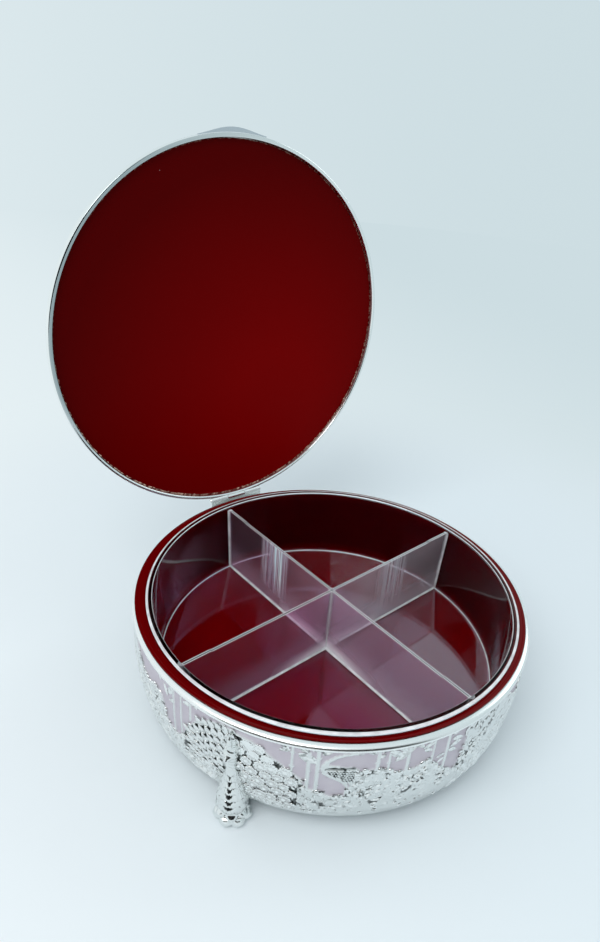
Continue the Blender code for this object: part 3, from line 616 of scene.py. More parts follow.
rng = np.random.default_rng(23)
leaf_spots = []
spray_spots = []
barb_spots = []
lump_spots = []
eye_spots = []
feather_spots = []
LEAF_STEP = 2.9
RING_STEP = 5.4
PETAL_STEP = 4.5
EYE_STEP = 7.2
LEAF_CEILING_Z = 64.2 * MM
FIELD = (8.5, 64)
TAIL_SPAN = (-15.6, 17.4)
SPRAY_LENGTH = 2.9
SPRAY_MIDDLE = 0.42
FAN_RINGS = 9
FAN_SPREAD = 98
# Barbs at the sole and at the breast: first heading, step, mm shorter, mm aside, lowest mm, squash, highest
# mm with its drop per tier, lift in mm
BARB_FANS = ((104, 4.4, 0, -3, 5, 0.8, (32, 4), 0.5), (-58, 4.2, 4, 2, 24, 1.0, (24, 0), 0.6))
for foot_bearing in FOOT_BEARINGS:
    height = FIELD[0]
    row_number = 0
    while height < FIELD[1]:
        step = LEAF_STEP / DEGREE
        for i in range(int(120 / step)):
            bearing = -60 + (i + 0.5 * (row_number % 2)) * step + rng.uniform(-0.5, 0.5)
            level = height + rng.uniform(-0.9, 0.9)
            heading = 90 + rng.uniform(-75, 75)
            size = rng.uniform(0.75, 1.3)
            kind = rng.random()
            in_tail = TAIL_SPAN[0] < bearing < TAIL_SPAN[1]
            smooth = level < SMOOTH_FOOT or smooth_low(bearing, level)
            if heap_room(bearing, level) < 0.6 or in_tail or (smooth and kind < 0.8) or kind < 0.07:
                continue
            if kind < 0.72:
                spots, lift, lean = leaf_spots, 0.55, rng.uniform(0, 8)
            else:
                spots, lift, lean = lump_spots, 0.5, rng.uniform(-4, 6)
            set_spot(spots, bearing, level, heading, size, lift, lean)
        height += LEAF_STEP * 0.76
        row_number += 1
    for bearing in np.arange(-59, 60, 3.1 / DEGREE):
        if not -15 < bearing < 17.5:
            bearing += rng.uniform(-0.4, 0.4)
            level = heap_room(bearing, 1.2) + rng.uniform(-0.6, 0.3)
            if level < 63 and rng.random() < 0.6:
                set_spot(lump_spots, bearing, level, rng.uniform(0, 360), rng.uniform(1.1, 1.5), 0.45)
    for bearing, level, heading, length in SPRAYS:
        along, climb = polar(length * SPRAY_MIDDLE, heading)
        size = length / SPRAY_LENGTH
        set_spot(spray_spots, bearing + along / DEGREE, level + climb, heading, size, 0.1, -2)
    for ring_number in range(FAN_RINGS):
        reach = 9 + ring_number * RING_STEP
        count = max(4, round(reach * math.radians(FAN_SPREAD) / PETAL_STEP))
        for i in range(count):
            heading = 86 + (i + 0.5 * (ring_number % 2)) * FAN_SPREAD / count
            along, climb = polar(reach, heading)
            bearing = along / DEGREE - 0.6
            level = 12 + climb
            if heap_room(bearing, level) > 0.9 and bearing > -15.2 and level > 17:
                size = rng.uniform(0.92, 1.08)
                heading += rng.uniform(-5, 5)
                set_spot(feather_spots, bearing, level, heading, size, 0.35, rng.uniform(2, 9))
    for tier in range(4):
        for i in range(16):
            for start, step, shorter, aside, foot_level, squash, (top, slope), lift in BARB_FANS:
                heading = start + step * (i + 0.5 * (tier % 2))
                along, climb = polar(15 + 5.6 * tier - shorter, heading)
                level = foot_level + climb * squash
                if FIELD[0] < level < top - slope * tier:
                    bearing = (along + aside) / DEGREE
                    set_spot(barb_spots, bearing, level, heading, rng.uniform(0.9, 1.15), lift, 3)
    for row in range(7):
        for i in range(12):
            bearing = 23.2 + i * 0.72 + 0.36 * (row % 2)
            level = 41.5 + row * 1.75 + (bearing - 23) * 0.15
            low = float(np.interp(bearing, *WING_LOW))
            if low + 0.5 < level < 52.0 and abs(level - 50.6 - (bearing - 23.4) * 0.16) > 1.0:
                set_spot(barb_spots, bearing, level, -24, 0.32, 0.75, 8)
    level = 12.0
    row_number = 0
    while level < 60:
        for i in range(7):
            bearing = 2.0 + (i + 0.5 * (row_number % 2)) * EYE_STEP / DEGREE + rng.uniform(-0.4, 0.4)
            height = level + rng.uniform(-0.6, 0.6)
            if heap_room(bearing, height) > 1.6 and bearing < 16.6:
                heading = 60 + rng.uniform(-20, 20)
                set_spot(eye_spots, bearing, height, heading, rng.uniform(0.88, 1.1), 0.4, 5)
            near = bearing + rng.uniform(-2, 2)
            low = height + rng.uniform(-3.2, 3.2)
            if heap_room(near, low) > 0.8 and 0.8 < near < 17.2 and low > 9:
                set_spot(leaf_spots, near, low, rng.uniform(0, 360), 0.8, 0.3, 4)
        level += EYE_STEP * 0.86
        row_number += 1

# Chased and silver plated, with grey specks from a fine noise, partly an uneven tone and partly painted
# shade, for they gather most beside the feet
chased, tree, shader, spot, tone, _ = plate_finish("chased_silver_plate", "#EFF1F0", 0.10, 1.5, 0.30, 0.75)
FOOT_SHADE_PHASE = -3 * math.radians(FOOT_BEARINGS[0] + 16)
speckle_noise = add(tree, "ShaderNodeTexNoise", (0, spot), ("Scale", 1 / (2.0 * MM)), ("Detail", 2.0))
speckle_share = add(tree, "ShaderNodeMapRange", (0, speckle_noise.outputs[0]), (1, 0.5), (2, 0.62))
split = add(tree, "ShaderNodeSeparateXYZ", (0, spot))
front = add(tree, "ShaderNodeMath", (0, split.outputs["Y"]), (1, -1.0), operation="MULTIPLY")
bearing = add(tree, "ShaderNodeMath", (0, split.outputs["X"]), (1, front.outputs[0]), operation="ARCTAN2")
thirds = add(
    tree, "ShaderNodeMath", (0, bearing.outputs[0]), (1, 3.0), (2, FOOT_SHADE_PHASE), operation="MULTIPLY_ADD"
)
near = add(tree, "ShaderNodeMath", (0, thirds.outputs[0]), operation="COSINE")
by_foot = add(tree, "ShaderNodeMapRange", (0, near.outputs[0]), (1, 0.2), (2, 0.9), (3, 0.3), (4, 0.62))
speckle_and_shade = add(tree, "ShaderNodeMath", (0, speckle_share.outputs[0]), (1, by_foot.outputs[0]), operation="MULTIPLY")
speckle_tones = ((6, tone), (7, linear("#5E6463")))
speckled_and_shaded = add(tree, "ShaderNodeMix", (0, speckle_and_shade.outputs[0]), *speckle_tones, data_type="RGBA")
feed(shader, ("Base Color", speckled_and_shaded.outputs[2]))
# The eyes of the train are burnished smooth and throw sharp lights
burnished = plate_finish("burnished_silver_plate", "#F6F8F7", 0.09, 3.0, 0.10, 0.6)[0]
# Outlines of the bosses: (radius, height) rings from foot to top
LUMP_RINGS = ((1.0, -0.4), (1.0, 0.0), (0.84, 0.26), (0.5, 0.42), (0.18, 0.48))
EYE_RINGS = (
    (1.0, -0.12), (1.0, 0.0), (0.84, 0.2), (0.68, 0.02), (0.52, 0.24), (0.36, 0.04), (0.24, 0.26),
    (0.08, 0.32),
)
FEATHER_RINGS = ((1.0, -0.14), (1.0, 0.0), (0.74, 0.13), (0.5, 0.08), (0.28, 0.14), (0.1, 0.17))
leaf = roof_leaf("leaf_shape", 0.36, -0.35)
flat_leaf = roof_leaf("flat_leaf_shape", 0.17, -0.3)
barb = roof_leaf("barb_shape", 0.16, -0.2, 0.36)
lump = small_shape("lump_shape", LUMP_RINGS, 9, 1.15, 0.2)
eye = small_shape("eye_shape", EYE_RINGS, 30, 1.05, 0.0, 0.09, 10)
feather = small_shape("feather_shape", FEATHER_RINGS, 12, 1.5, 0.35, rib=0.07)
for name, shape, spots, size, finish in (
    ("wall_leaves", leaf, leaf_spots, 2.15, chased), ("wall_lumps", lump, lump_spots, 1.35, chased),
    ("train_eyes", eye, eye_spots, 3.75, burnished), ("train_feathers", feather, feather_spots, 2.3, chased),
    ("spray_leaves", flat_leaf, spray_spots, 2.15, chased), ("wall_barbs", barb, barb_spots, 3.2, chased),
):
    piece = set_along(name, shape, spots, finish, size * MM, LEAF_CEILING_Z)
    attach(piece, "bowl")


# Band round the mouth
# A narrow ring of silver plate rolled over the wall's edge. The red cup's flange lies on the flat
# inner part of its top.
def turned(name, outline, segments, finish, sharp=35, centre=(0.0, 0.0), swell=None):
    """Turn a closed outline of (radius, height) points round Z; a zero radius is a closed pole."""
    vertices = []
    rings = []
    for radius, height in outline:
        if radius == 0:
            rings.append([len(vertices)] * segments)
            vertices.append((centre[0], centre[1], height))
            continue
        rings.append(range(len(vertices), len(vertices) + segments))
        for i in range(segments):
            angle = math.tau * i / segments
            reach = radius + (swell(radius, angle) if swell else 0)
            x, y = centre[0] + reach * math.sin(angle), centre[1] - reach * math.cos(angle)
            vertices.append((x, y, height))
    faces = []
    for low, high in zip(rings, rings[1:] + rings[:1]):
        for i in range(segments):
            after = (i + 1) % segments
            corners = [low[i], low[after], high[after], high[i]]
            face = [c for k, c in enumerate(corners) if c not in corners[:k]]
            if len(face) > 2:
                faces.append(face)
    return shaped(name, vertices, faces, finish, sharp)


def arc(centre_r, centre_z, radius, start, end, steps):
    """Points of an arc in the turning plane, between two angles in degrees."""
    points = []
    for i in range(steps + 1):
        angle = math.radians(start + (end - start) * i / steps)
        points.append((centre_r + radius * math.cos(angle), centre_z + radius * math.sin(angle)))
    return points


# Silver plate: mirror bright for the lid's ring and the hinge pin, softer for the band and the hinge leaves
polished = plate_finish("polished_silver_plate", "#F4F7F6", 0.07, 2.4, 0.01)[0]
buffed = plate_finish("buffed_silver_plate", "#F6F8F7", 0.24, 2.4, 0.01)[0]
BAND_MOUTH_R = 119.1 * MM
BAND_TOP_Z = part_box("rim_band")[1].z + 0.5 * MM
BAND_FOOT_Z = 64.0 * MM
BAND_FOOT_ROUND = 0.35 * MM
BAND_ROLL_W = 3.6 * MM
BAND_ROLL_H = 2.2 * MM
BAND_ROLL_STEPS = 12
BAND_LIP = 0.2 * MM
BAND_T = 1.2 * MM
BAND_INSIDE_R = WALL_TOP_R + 0.3 * MM
band_outline = [
    (BAND_INSIDE_R, BAND_FOOT_Z), (RIM_R - BAND_FOOT_ROUND, BAND_FOOT_Z),
    (RIM_R, BAND_FOOT_Z + BAND_FOOT_ROUND),
]
for i in range(BAND_ROLL_STEPS + 1):
    angle = math.pi / 2 * i / BAND_ROLL_STEPS
    in_roll = BAND_ROLL_W * (math.cos(angle) - 1)
    band_outline.append((RIM_R + in_roll, BAND_TOP_Z + BAND_ROLL_H * (math.sin(angle) - 1)))
band_outline += [
    (BAND_MOUTH_R + BAND_LIP, BAND_TOP_Z), (BAND_MOUTH_R, BAND_TOP_Z - BAND_LIP),
    (BAND_MOUTH_R, BAND_TOP_Z - BAND_T), (BAND_INSIDE_R, BAND_TOP_Z - BAND_T),
]
band = turned("rolled_band", band_outline, 256, buffed, 50)
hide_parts("rim_band")
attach(band, "bowl")


# Red cup
# Vacuum-formed dark red acrylic with a high gloss. Its flange lies loose on the band, a little to the
# left and slightly out of round, as thin formed cups are; a fine line runs near the flange's edge.
CUP_SHIFT = (-0.85 * MM, 0.0)
FLANGE_R = 121.7 * MM
FLANGE_OVAL = 1.09 * MM
OVAL_BEARING = math.radians(54)
FLANGE_T = 0.7 * MM
FLANGE_TOP_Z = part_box("red_liner")[1].z
CUP_UNDER_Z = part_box("red_liner")[0].z
CUP_T = 1.5 * MM
CUP_MOUTH_R = 116.0 * MM
CUP_FOOT_R = 113.2 * MM
CUP_CORNER_R = 5.0 * MM
LINE_INSET = 1.5 * MM
LINE_W = 0.3 * MM
LINE_DEPTH = 0.18 * MM
FLANGE_ROUND = 0.25 * MM
MOUTH_ROUND = 0.6 * MM


def flange_swell(radius, angle):
    """How far the flange's outer edge departs from round."""
    return FLANGE_OVAL * math.cos(2 * (angle - OVAL_BEARING)) if radius > FLANGE_R - 2 * LINE_INSET else 0


# Dark red acrylic whose colour is painted by height as light and shade: lightest on the floor, darkest
# down the wall deep inside the bowl, and between the two on the flange
acrylic, tree, shader, spot = new_material("dark_red_acrylic")
height = add(tree, "ShaderNodeSeparateXYZ", (0, spot)).outputs["Z"]
cloud = add(tree, "ShaderNodeTexNoise", (0, spot), ("Scale", 1 / (45 * MM)), ("Detail", 2.0)).outputs[0]
lit_and_shaded_red = add(tree, "ShaderNodeValToRGB", (0, height))
lit_and_shaded_red.color_ramp.elements[0].position = 0.0175
lit_and_shaded_red.color_ramp.elements[0].color = linear("#9C0003")
lit_and_shaded_red.color_ramp.elements[1].position = 0.0672
lit_and_shaded_red.color_ramp.elements[1].color = linear("#680103")
lit_and_shaded_red.color_ramp.elements.new(0.021).color = linear("#500002")
lit_and_shaded_red.color_ramp.elements.new(0.064).color = linear("#520003")
shades = ((0, cloud), (6, lit_and_shaded_red.outputs[0]), (7, linear("#E9E0E0")))
tone = add(tree, "ShaderNodeMix", *shades, data_type="RGBA", blend_type="MULTIPLY")
smear = add(tree, "ShaderNodeMapRange", (0, cloud), (3, 0.03), (4, 0.10))
gloss = add(tree, "ShaderNodeMapRange", (0, height), (1, 0.064), (2, 0.0672), (3, 0.08), (4, 0.12))
ripple = add(tree, "ShaderNodeTexNoise", (0, spot), ("Scale", 1 / (28 * MM)), ("Detail", 1.0))
bump = add(tree, "ShaderNodeBump", ("Strength", 0.2), ("Distance", 0.12 * MM), ("Height", ripple.outputs[0]))
feed(
    shader, ("Base Color", tone.outputs[2]), ("Roughness", smear.outputs[0]), ("IOR", 1.49),
    ("Specular IOR Level", gloss.outputs[0]), ("Normal", bump.outputs[0]),
)

cup_outline = [(0, CUP_UNDER_Z)]
cup_outline += arc(CUP_FOOT_R + CUP_T - CUP_CORNER_R, CUP_UNDER_Z + CUP_CORNER_R, CUP_CORNER_R, -90, 0, 6)
cup_outline += [
    (CUP_MOUTH_R + CUP_T, FLANGE_TOP_Z - FLANGE_T), (FLANGE_R, FLANGE_TOP_Z - FLANGE_T),
    (FLANGE_R, FLANGE_TOP_Z - FLANGE_ROUND), (FLANGE_R - FLANGE_ROUND, FLANGE_TOP_Z),
    (FLANGE_R - LINE_INSET, FLANGE_TOP_Z), (FLANGE_R - LINE_INSET - 0.4 * LINE_W, FLANGE_TOP_Z - LINE_DEPTH),
    (FLANGE_R - LINE_INSET - LINE_W, FLANGE_TOP_Z),
]
cup_outline += arc(CUP_MOUTH_R + MOUTH_ROUND, FLANGE_TOP_Z - MOUTH_ROUND, MOUTH_ROUND, 90, 180, 3)
inner_corner = CUP_CORNER_R - CUP_T
cup_outline += arc(CUP_FOOT_R - inner_corner, CUP_UNDER_Z + CUP_T + inner_corner, inner_corner, 0, -90, 6)
cup_outline += [(0, CUP_UNDER_Z + CUP_T)]
cup = turned("red_cup", cup_outline, 224, acrylic, 40, CUP_SHIFT, flange_swell)
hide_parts("red_liner")
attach(cup, "bowl")


# Clear tray
# One injection moulding in clear polystyrene with a beaded rim and a cross of two thin walls, each with
# a small step in its top where the mould's inserts met.
TRAY_CENTRE = (-0.5 * MM, -1.6 * MM)
TRAY_TURN = math.radians(6.3)
TRAY_MOUTH_R = 114.9 * MM
TRAY_FOOT_R = 111.6 * MM
TRAY_T = 1.8 * MM
TRAY_FLOOR_Z = 18.8 * MM
TRAY_CORNER_R = 4.6 * MM
BEAD_R = 1.1 * MM
BEAD_Z = 69.4 * MM
LIP = 0.35 * MM
DIVIDER_T = 2.0 * MM
DIVIDER_TOP_Z = 67.7 * MM
STEP_DROP = 0.5 * MM
STEP_FROM_WALL = 21.0 * MM
FILLET = 1.15 * MM
SUNK = 0.05 * MM
STYRENE_IOR = 1.59
STYRENE_WHITE = "#F6F8FB"
FLAT = (1.0, 1.0, 0.0)
SHEEN_Z = 19.5 * MM
STREAK_R = 56 * MM
STREAKS_PER_M = (700.0, 700.0, 14.0)
CLEAR_TOP_Z = (66.4 * MM, 66.9 * MM)
CLEAR_TOP_R = (112 * MM, 111 * MM)

# Clear polystyrene with painted reflections: the steep wall reflects faintly in a dark red tint, as if
# mirroring the inside of the bowl; the floor reflects strongly in painted bands of violet and lilac sheen
# of the bright room, with a second coat standing for its underside, most towards its right
styrene, tree, shader, spot = new_material("clear_polystyrene")
split = add(tree, "ShaderNodeSeparateXYZ", (0, spot)).outputs
gloss = add(tree, "ShaderNodeMapRange", (0, split["Z"]), (1, SHEEN_Z), (2, 0.024), (3, 1.0), (4, 0.06))
on_floor = add(tree, "ShaderNodeMapRange", (0, split["Z"]), (1, SHEEN_Z), (2, 0.021), (3, 1.0), (4, 0.0))
to_right = add(tree, "ShaderNodeMapRange", (0, split["X"]), (1, -0.03), (2, 0.035), (3, 0.05), (4, 0.85))
double = add(tree, "ShaderNodeMath", (0, on_floor.outputs[0]), (1, to_right.outputs[0]), operation="MULTIPLY")
sheen_noise = add(tree, "ShaderNodeTexNoise", (0, spot), ("Scale", 1 / (60 * MM)), ("Detail", 1.0))
drift = add(tree, "ShaderNodeMapRange", (0, split["X"]), (1, -0.07), (2, 0.04), (3, -0.2), (4, 0.2))
drifted_sheen_noise = add(tree, "ShaderNodeMath", (0, sheen_noise.outputs[0]), (1, drift.outputs[0]), operation="ADD")
bands = add(tree, "ShaderNodeValToRGB", (0, drifted_sheen_noise.outputs[0]))
bands.color_ramp.elements[0].position = 0.3
bands.color_ramp.elements[0].color = linear("#C05CC4")
bands.color_ramp.elements[1].position = 0.75
bands.color_ramp.elements[1].color = linear("#CBC6F6")
for position, colour in ((0.42, "#D680C8"), (0.52, "#E0A2DC"), (0.6, "#D2BCE8"), (0.66, "#E2B2E0")):
    bands.color_ramp.elements.new(position).color = linear(colour)
painted_reflection_tints = ((6, linear("#55161C")), (7, bands.outputs[0]))
painted_sheen = add(tree, "ShaderNodeMix", (0, on_floor.outputs[0]), *painted_reflection_tints, data_type="RGBA")
haze = add(tree, "ShaderNodeTexNoise", (0, spot), ("Scale", 1 / (24 * MM)), ("Detail", 3.0))
rough = add(tree, "ShaderNodeMapRange", (0, haze.outputs[0]), (1, 0.35), (2, 0.75), (3, 0.0), (4, 0.06))
flow = add(tree, "ShaderNodeTexNoise", (0, spot), ("Scale", 1 / (16 * MM)), ("Detail", 1.0))
bump = add(tree, "ShaderNodeBump", ("Strength", 0.2), ("Distance", 0.06 * MM), ("Height", flow.outputs[0]))
feed(
    shader, ("Base Color", linear("#F7F8FB")), ("Transmission Weight", 1.0), ("IOR", STYRENE_IOR),
    ("Specular IOR Level", gloss.outputs[0]), ("Specular Tint", painted_sheen.outputs[2]),
    ("Coat Weight", double.outputs[0]), ("Coat IOR", STYRENE_IOR), ("Roughness", rough.outputs[0]),
    ("Normal", bump.outputs[0]),
)

# The cross of walls in the same plastic gets a cloudy white share, a painted sheen: most near its feet, at
# the crossing, where it is painted whiter, and to the right, in mauve. Fine upright streaks of violet and
# pale blue, painted glints, show half way along its far arms
blades, tree, shader, spot = new_material("hazy_polystyrene")
split = add(tree, "ShaderNodeSeparateXYZ", (0, spot)).outputs
on_plan = add(tree, "ShaderNodeVectorMath", (0, spot), (1, FLAT), operation="MULTIPLY")
out = add(tree, "ShaderNodeVectorMath", (0, on_plan.outputs[0]), operation="LENGTH").outputs["Value"]
sheen_share = add(
    tree, "ShaderNodeMapRange", (0, split["Z"]), (1, 0.018), (2, 0.05), (3, 0.2), (4, 0.015),
    interpolation_type="SMOOTHERSTEP",
)
near_middle = add(tree, "ShaderNodeMapRange", (0, out), (1, 0.0), (2, 0.06), (3, 0.12), (4, 0.0))
to_right = add(tree, "ShaderNodeMapRange", (0, split["X"]), (1, -0.02), (2, 0.04), (3, 0.0), (4, 0.16))
glow_low = add(tree, "ShaderNodeMapRange", (0, split["Z"]), (1, SHEEN_Z), (2, 0.028), (3, 1.0), (4, 0.0))
glow_near = add(tree, "ShaderNodeMapRange", (0, out), (1, 0.018), (2, 0.05), (3, 1.0), (4, 0.0))
glow = add(
    tree, "ShaderNodeMath", (0, glow_low.outputs[0]), (1, glow_near.outputs[0]), operation="MULTIPLY"
)
for more in (near_middle, glow, to_right):
    sheen_share = add(tree, "ShaderNodeMath", (0, sheen_share.outputs[0]), (1, more.outputs[0]), operation="ADD")
strands = add(tree, "ShaderNodeVectorMath", (0, spot), (1, STREAKS_PER_M), operation="MULTIPLY")
strands = add(tree, "ShaderNodeTexNoise", (0, strands.outputs[0]), ("Scale", 1.0), ("Detail", 1.0))
glint = add(tree, "ShaderNodeMapRange", (0, strands.outputs[0]), (1, 0.42), (2, 0.56), (3, 0.12), (4, 1.0))
aside = add(tree, "ShaderNodeMath", (0, out), (1, STREAK_R), operation="SUBTRACT")
aside = add(tree, "ShaderNodeMath", (0, aside.outputs[0]), operation="ABSOLUTE")
half_way = add(tree, "ShaderNodeMapRange", (0, aside.outputs[0]), (1, 0.016), (2, 0.006))
upper = add(tree, "ShaderNodeMapRange", (0, split["Z"]), (1, 0.026), (2, 0.044))
far_side = add(tree, "ShaderNodeMapRange", (0, split["Y"]), (1, 0.0), (2, 0.012))
for share in (half_way, upper, far_side):
    glint = add(tree, "ShaderNodeMath", (0, glint.outputs[0]), (1, share.outputs[0]), operation="MULTIPLY")
cloudy = add(tree, "ShaderNodeMath", (0, glint.outputs[0]), (1, sheen_share.outputs[0]), operation="ADD")
through = add(tree, "ShaderNodeMath", (0, 1.0), (1, cloudy.outputs[0]), operation="SUBTRACT")
tints = add(tree, "ShaderNodeValToRGB", (0, strands.outputs[0]))
tints.color_ramp.elements[0].position = 0.36
tints.color_ramp.elements[0].color = linear("#D2CCFA")
tints.color_ramp.elements[1].position = 0.64
tints.color_ramp.elements[1].color = linear("#EDFBFC")
tints.color_ramp.elements.new(0.46).color = linear("#FCF0F6")
tints.color_ramp.elements.new(0.55).color = linear("#C4E8F6")
rightwards = add(tree, "ShaderNodeMapRange", (0, split["X"]), (1, -0.02), (2, 0.03))
left_and_right = ((6, linear("#EFC4E2")), (7, linear("#F4ECF6")))
mauve = add(tree, "ShaderNodeMix", (0, rightwards.outputs[0]), *left_and_right, data_type="RGBA")
plain_and_streak = ((6, mauve.outputs[2]), (7, tints.outputs[0]))
tint = add(tree, "ShaderNodeMix", (0, glint.outputs[0]), *plain_and_streak, data_type="RGBA")
tint_and_glow = ((6, tint.outputs[2]), (7, linear(STYRENE_WHITE)))
glowing = add(tree, "ShaderNodeMix", (0, glow.outputs[0]), *tint_and_glow, data_type="RGBA")
feed(
    shader, ("Base Color", glowing.outputs[2]), ("Transmission Weight", through.outputs[0]),
    ("IOR", STYRENE_IOR), ("Specular IOR Level", 0.3), ("Roughness", 0.03),
)

# The same plastic along edges, fillets and the bead, made cloudy white so that the faces which catch light
# from above show as bright lines, a painted highlight. The tops of the cross are clearer, most of all along
# their middle
edge_highlight, tree, shader, spot = new_material("polystyrene_edges")
haze = add(tree, "ShaderNodeTexNoise", (0, spot), ("Scale", 1 / (7 * MM)), ("Detail", 3.0))
clear = add(tree, "ShaderNodeMapRange", (0, haze.outputs[0]), (1, 0.3), (2, 0.7), (3, 0.15), (4, 0.45))
middle = (*TRAY_CENTRE, 0.0)
on_plan = add(tree, "ShaderNodeVectorMath", (0, spot), (1, middle), operation="SUBTRACT")
on_plan = add(tree, "ShaderNodeVectorMath", (0, on_plan.outputs[0]), (1, FLAT), operation="MULTIPLY")
across = []
for turn in (TRAY_TURN, TRAY_TURN + math.pi / 2):
    way = (math.cos(turn), math.sin(turn), 0.0)
    along = add(tree, "ShaderNodeVectorMath", (0, on_plan.outputs[0]), (1, way), operation="DOT_PRODUCT")
    across.append(add(tree, "ShaderNodeMath", (0, along.outputs["Value"]), operation="ABSOLUTE").outputs[0])
split = add(tree, "ShaderNodeSeparateXYZ", (0, spot))
top = add(tree, "ShaderNodeMapRange", (0, split.outputs["Z"]), *enumerate(CLEAR_TOP_Z, 1))
reach = add(tree, "ShaderNodeVectorMath", (0, on_plan.outputs[0]), operation="LENGTH")
inside = add(tree, "ShaderNodeMapRange", (0, reach.outputs["Value"]), *enumerate(CLEAR_TOP_R, 1))
nearest = add(tree, "ShaderNodeMath", *enumerate(across), operation="MINIMUM")
along_middle = add(
    tree, "ShaderNodeMapRange", (0, nearest.outputs[0]), (1, 0.3 * MM), (2, 0.7 * MM), (3, 0.9), (4, 0.35)
)
for share in (inside, along_middle):
    top = add(tree, "ShaderNodeMath", (0, top.outputs[0]), (1, share.outputs[0]), operation="MULTIPLY")
through = add(tree, "ShaderNodeMath", (0, clear.outputs[0]), (1, top.outputs[0]), operation="MAXIMUM")
feed(
    shader, ("Base Color", linear(STYRENE_WHITE)), ("IOR", STYRENE_IOR), ("Roughness", 0.12),
    ("Transmission Weight", through.outputs[0]),
)

under_z = TRAY_FLOOR_Z - TRAY_T
tray_outline = [(0, under_z)]
tray_outline += arc(TRAY_FOOT_R - TRAY_CORNER_R, under_z + TRAY_CORNER_R, TRAY_CORNER_R, -90, 0, 6)
tray_outline += [(TRAY_MOUTH_R, BEAD_Z - BEAD_R)]
tray_outline += arc(TRAY_MOUTH_R + BEAD_R, BEAD_Z, BEAD_R, -90, 90, 8)
tray_outline += [
    (TRAY_MOUTH_R + 0.55 * BEAD_R, BEAD_Z + BEAD_R), (TRAY_MOUTH_R - TRAY_T + LIP, BEAD_Z + BEAD_R),
    (TRAY_MOUTH_R - TRAY_T, BEAD_Z + BEAD_R - LIP),
]
inner_corner = TRAY_CORNER_R - TRAY_T
tray_outline += arc(TRAY_FOOT_R - TRAY_T - inner_corner, TRAY_FLOOR_Z + inner_corner, inner_corner, 0, -90, 6)
tray_outline += [(0, TRAY_FLOOR_Z)]
tray = turned("clear_tray_moulding", tray_outline, 160, styrene, 35)
half_top = TRAY_MOUTH_R - TRAY_T / 2
half_foot = TRAY_FOOT_R - TRAY_T / 2
step_x = half_top - STEP_FROM_WALL
sunk_z = TRAY_FLOOR_Z - TRAY_T / 2
low_top_z = DIVIDER_TOP_Z - STEP_DROP
profile = [
    (-half_foot, sunk_z), (half_foot, sunk_z), (half_top, DIVIDER_TOP_Z), (step_x, DIVIDER_TOP_Z),
    (step_x - STEP_DROP, low_top_z), (-step_x + STEP_DROP, low_top_z), (-step_x, DIVIDER_TOP_Z),
    (-half_top, DIVIDER_TOP_Z),
]
count = len(profile)
for index in range(2):
    turn = Matrix.Rotation(index * math.pi / 2, 3, "Z")
    ends = [turn @ Vector((x, side, z)) for side in (-DIVIDER_T / 2, DIVIDER_T / 2) for x, z in profile]
    faces = [range(count)[::-1], range(count, 2 * count), *grid_faces(2, count, closed_rows=False)]
    blade = shaped(f"divider_{index}", ends, faces)
    bm = bmesh.new()
    bm.from_mesh(blade.data)
    bmesh.ops.recalc_face_normals(bm, faces=bm.faces)
    bm.to_mesh(blade.data)
    bm.free()
    union = tray.modifiers.new("divider", "BOOLEAN")
    union.operation = "UNION"
    union.solver = "EXACT"
    union.object = blade
bpy.context.view_layer.update()
moulded = bpy.data.meshes.new_from_object(tray.evaluated_get(bpy.context.evaluated_depsgraph_get()))
tray.modifiers.clear()
tray.data = moulded
for index in range(2):
    bpy.data.objects.remove(bpy.data.objects[f"divider_{index}"])
moulded.materials.clear()
for finish in (styrene, edge_highlight, blades):
    moulded.materials.append(finish)
bm = bmesh.new()
bm.from_mesh(moulded)
for face in bm.faces:
    middle = face.calc_center_median()
    reach = math.hypot(middle.x, middle.y)
    facing_up = face.normal.z > 0.3
    on_top = face.normal.z > 0.9 and abs(middle.z - DIVIDER_TOP_Z) < 1.5 * STEP_DROP and reach < TRAY_MOUTH_R
    on_crown = middle.z > BEAD_Z and reach > TRAY_MOUTH_R + 0.5 * BEAD_R and facing_up
    low_on_corner = 0.4 * MM < middle.z - TRAY_FLOOR_Z < 0.8 * MM and reach > TRAY_FOOT_R - TRAY_CORNER_R
    on_lip = middle.z > BEAD_Z + 0.5 * BEAD_R and reach < TRAY_MOUTH_R - TRAY_T + 0.2 * MM
    square_on = max(abs(face.normal.x), abs(face.normal.y)) > 0.999
    near_middle = min(abs(middle.x), abs(middle.y)) < 0.6 * DIVIDER_T
    on_blade = square_on and near_middle and reach < TRAY_FOOT_R - TRAY_T
    on_edge = on_top or on_crown or on_lip or (low_on_corner and facing_up)
    face.material_index = 1 if on_edge else 2 if on_blade else 0


def add_bar(bm, first, second, offsets):
    """A bar between two places, with the same outline of offsets at both ends, in the white edge finish."""
    low, high = [[bm.verts.new(end + offset) for offset in offsets] for end in (first, second)]
    count = len(offsets)
    made = [bm.faces.new(low), bm.faces.new(high)]
    for i in range(count):
        after = (i + 1) % count
        made.append(bm.faces.new((low[i], low[after], high[after], high[i])))
    bmesh.ops.recalc_face_normals(bm, faces=made)
    for face in made:
        face.material_index = 1


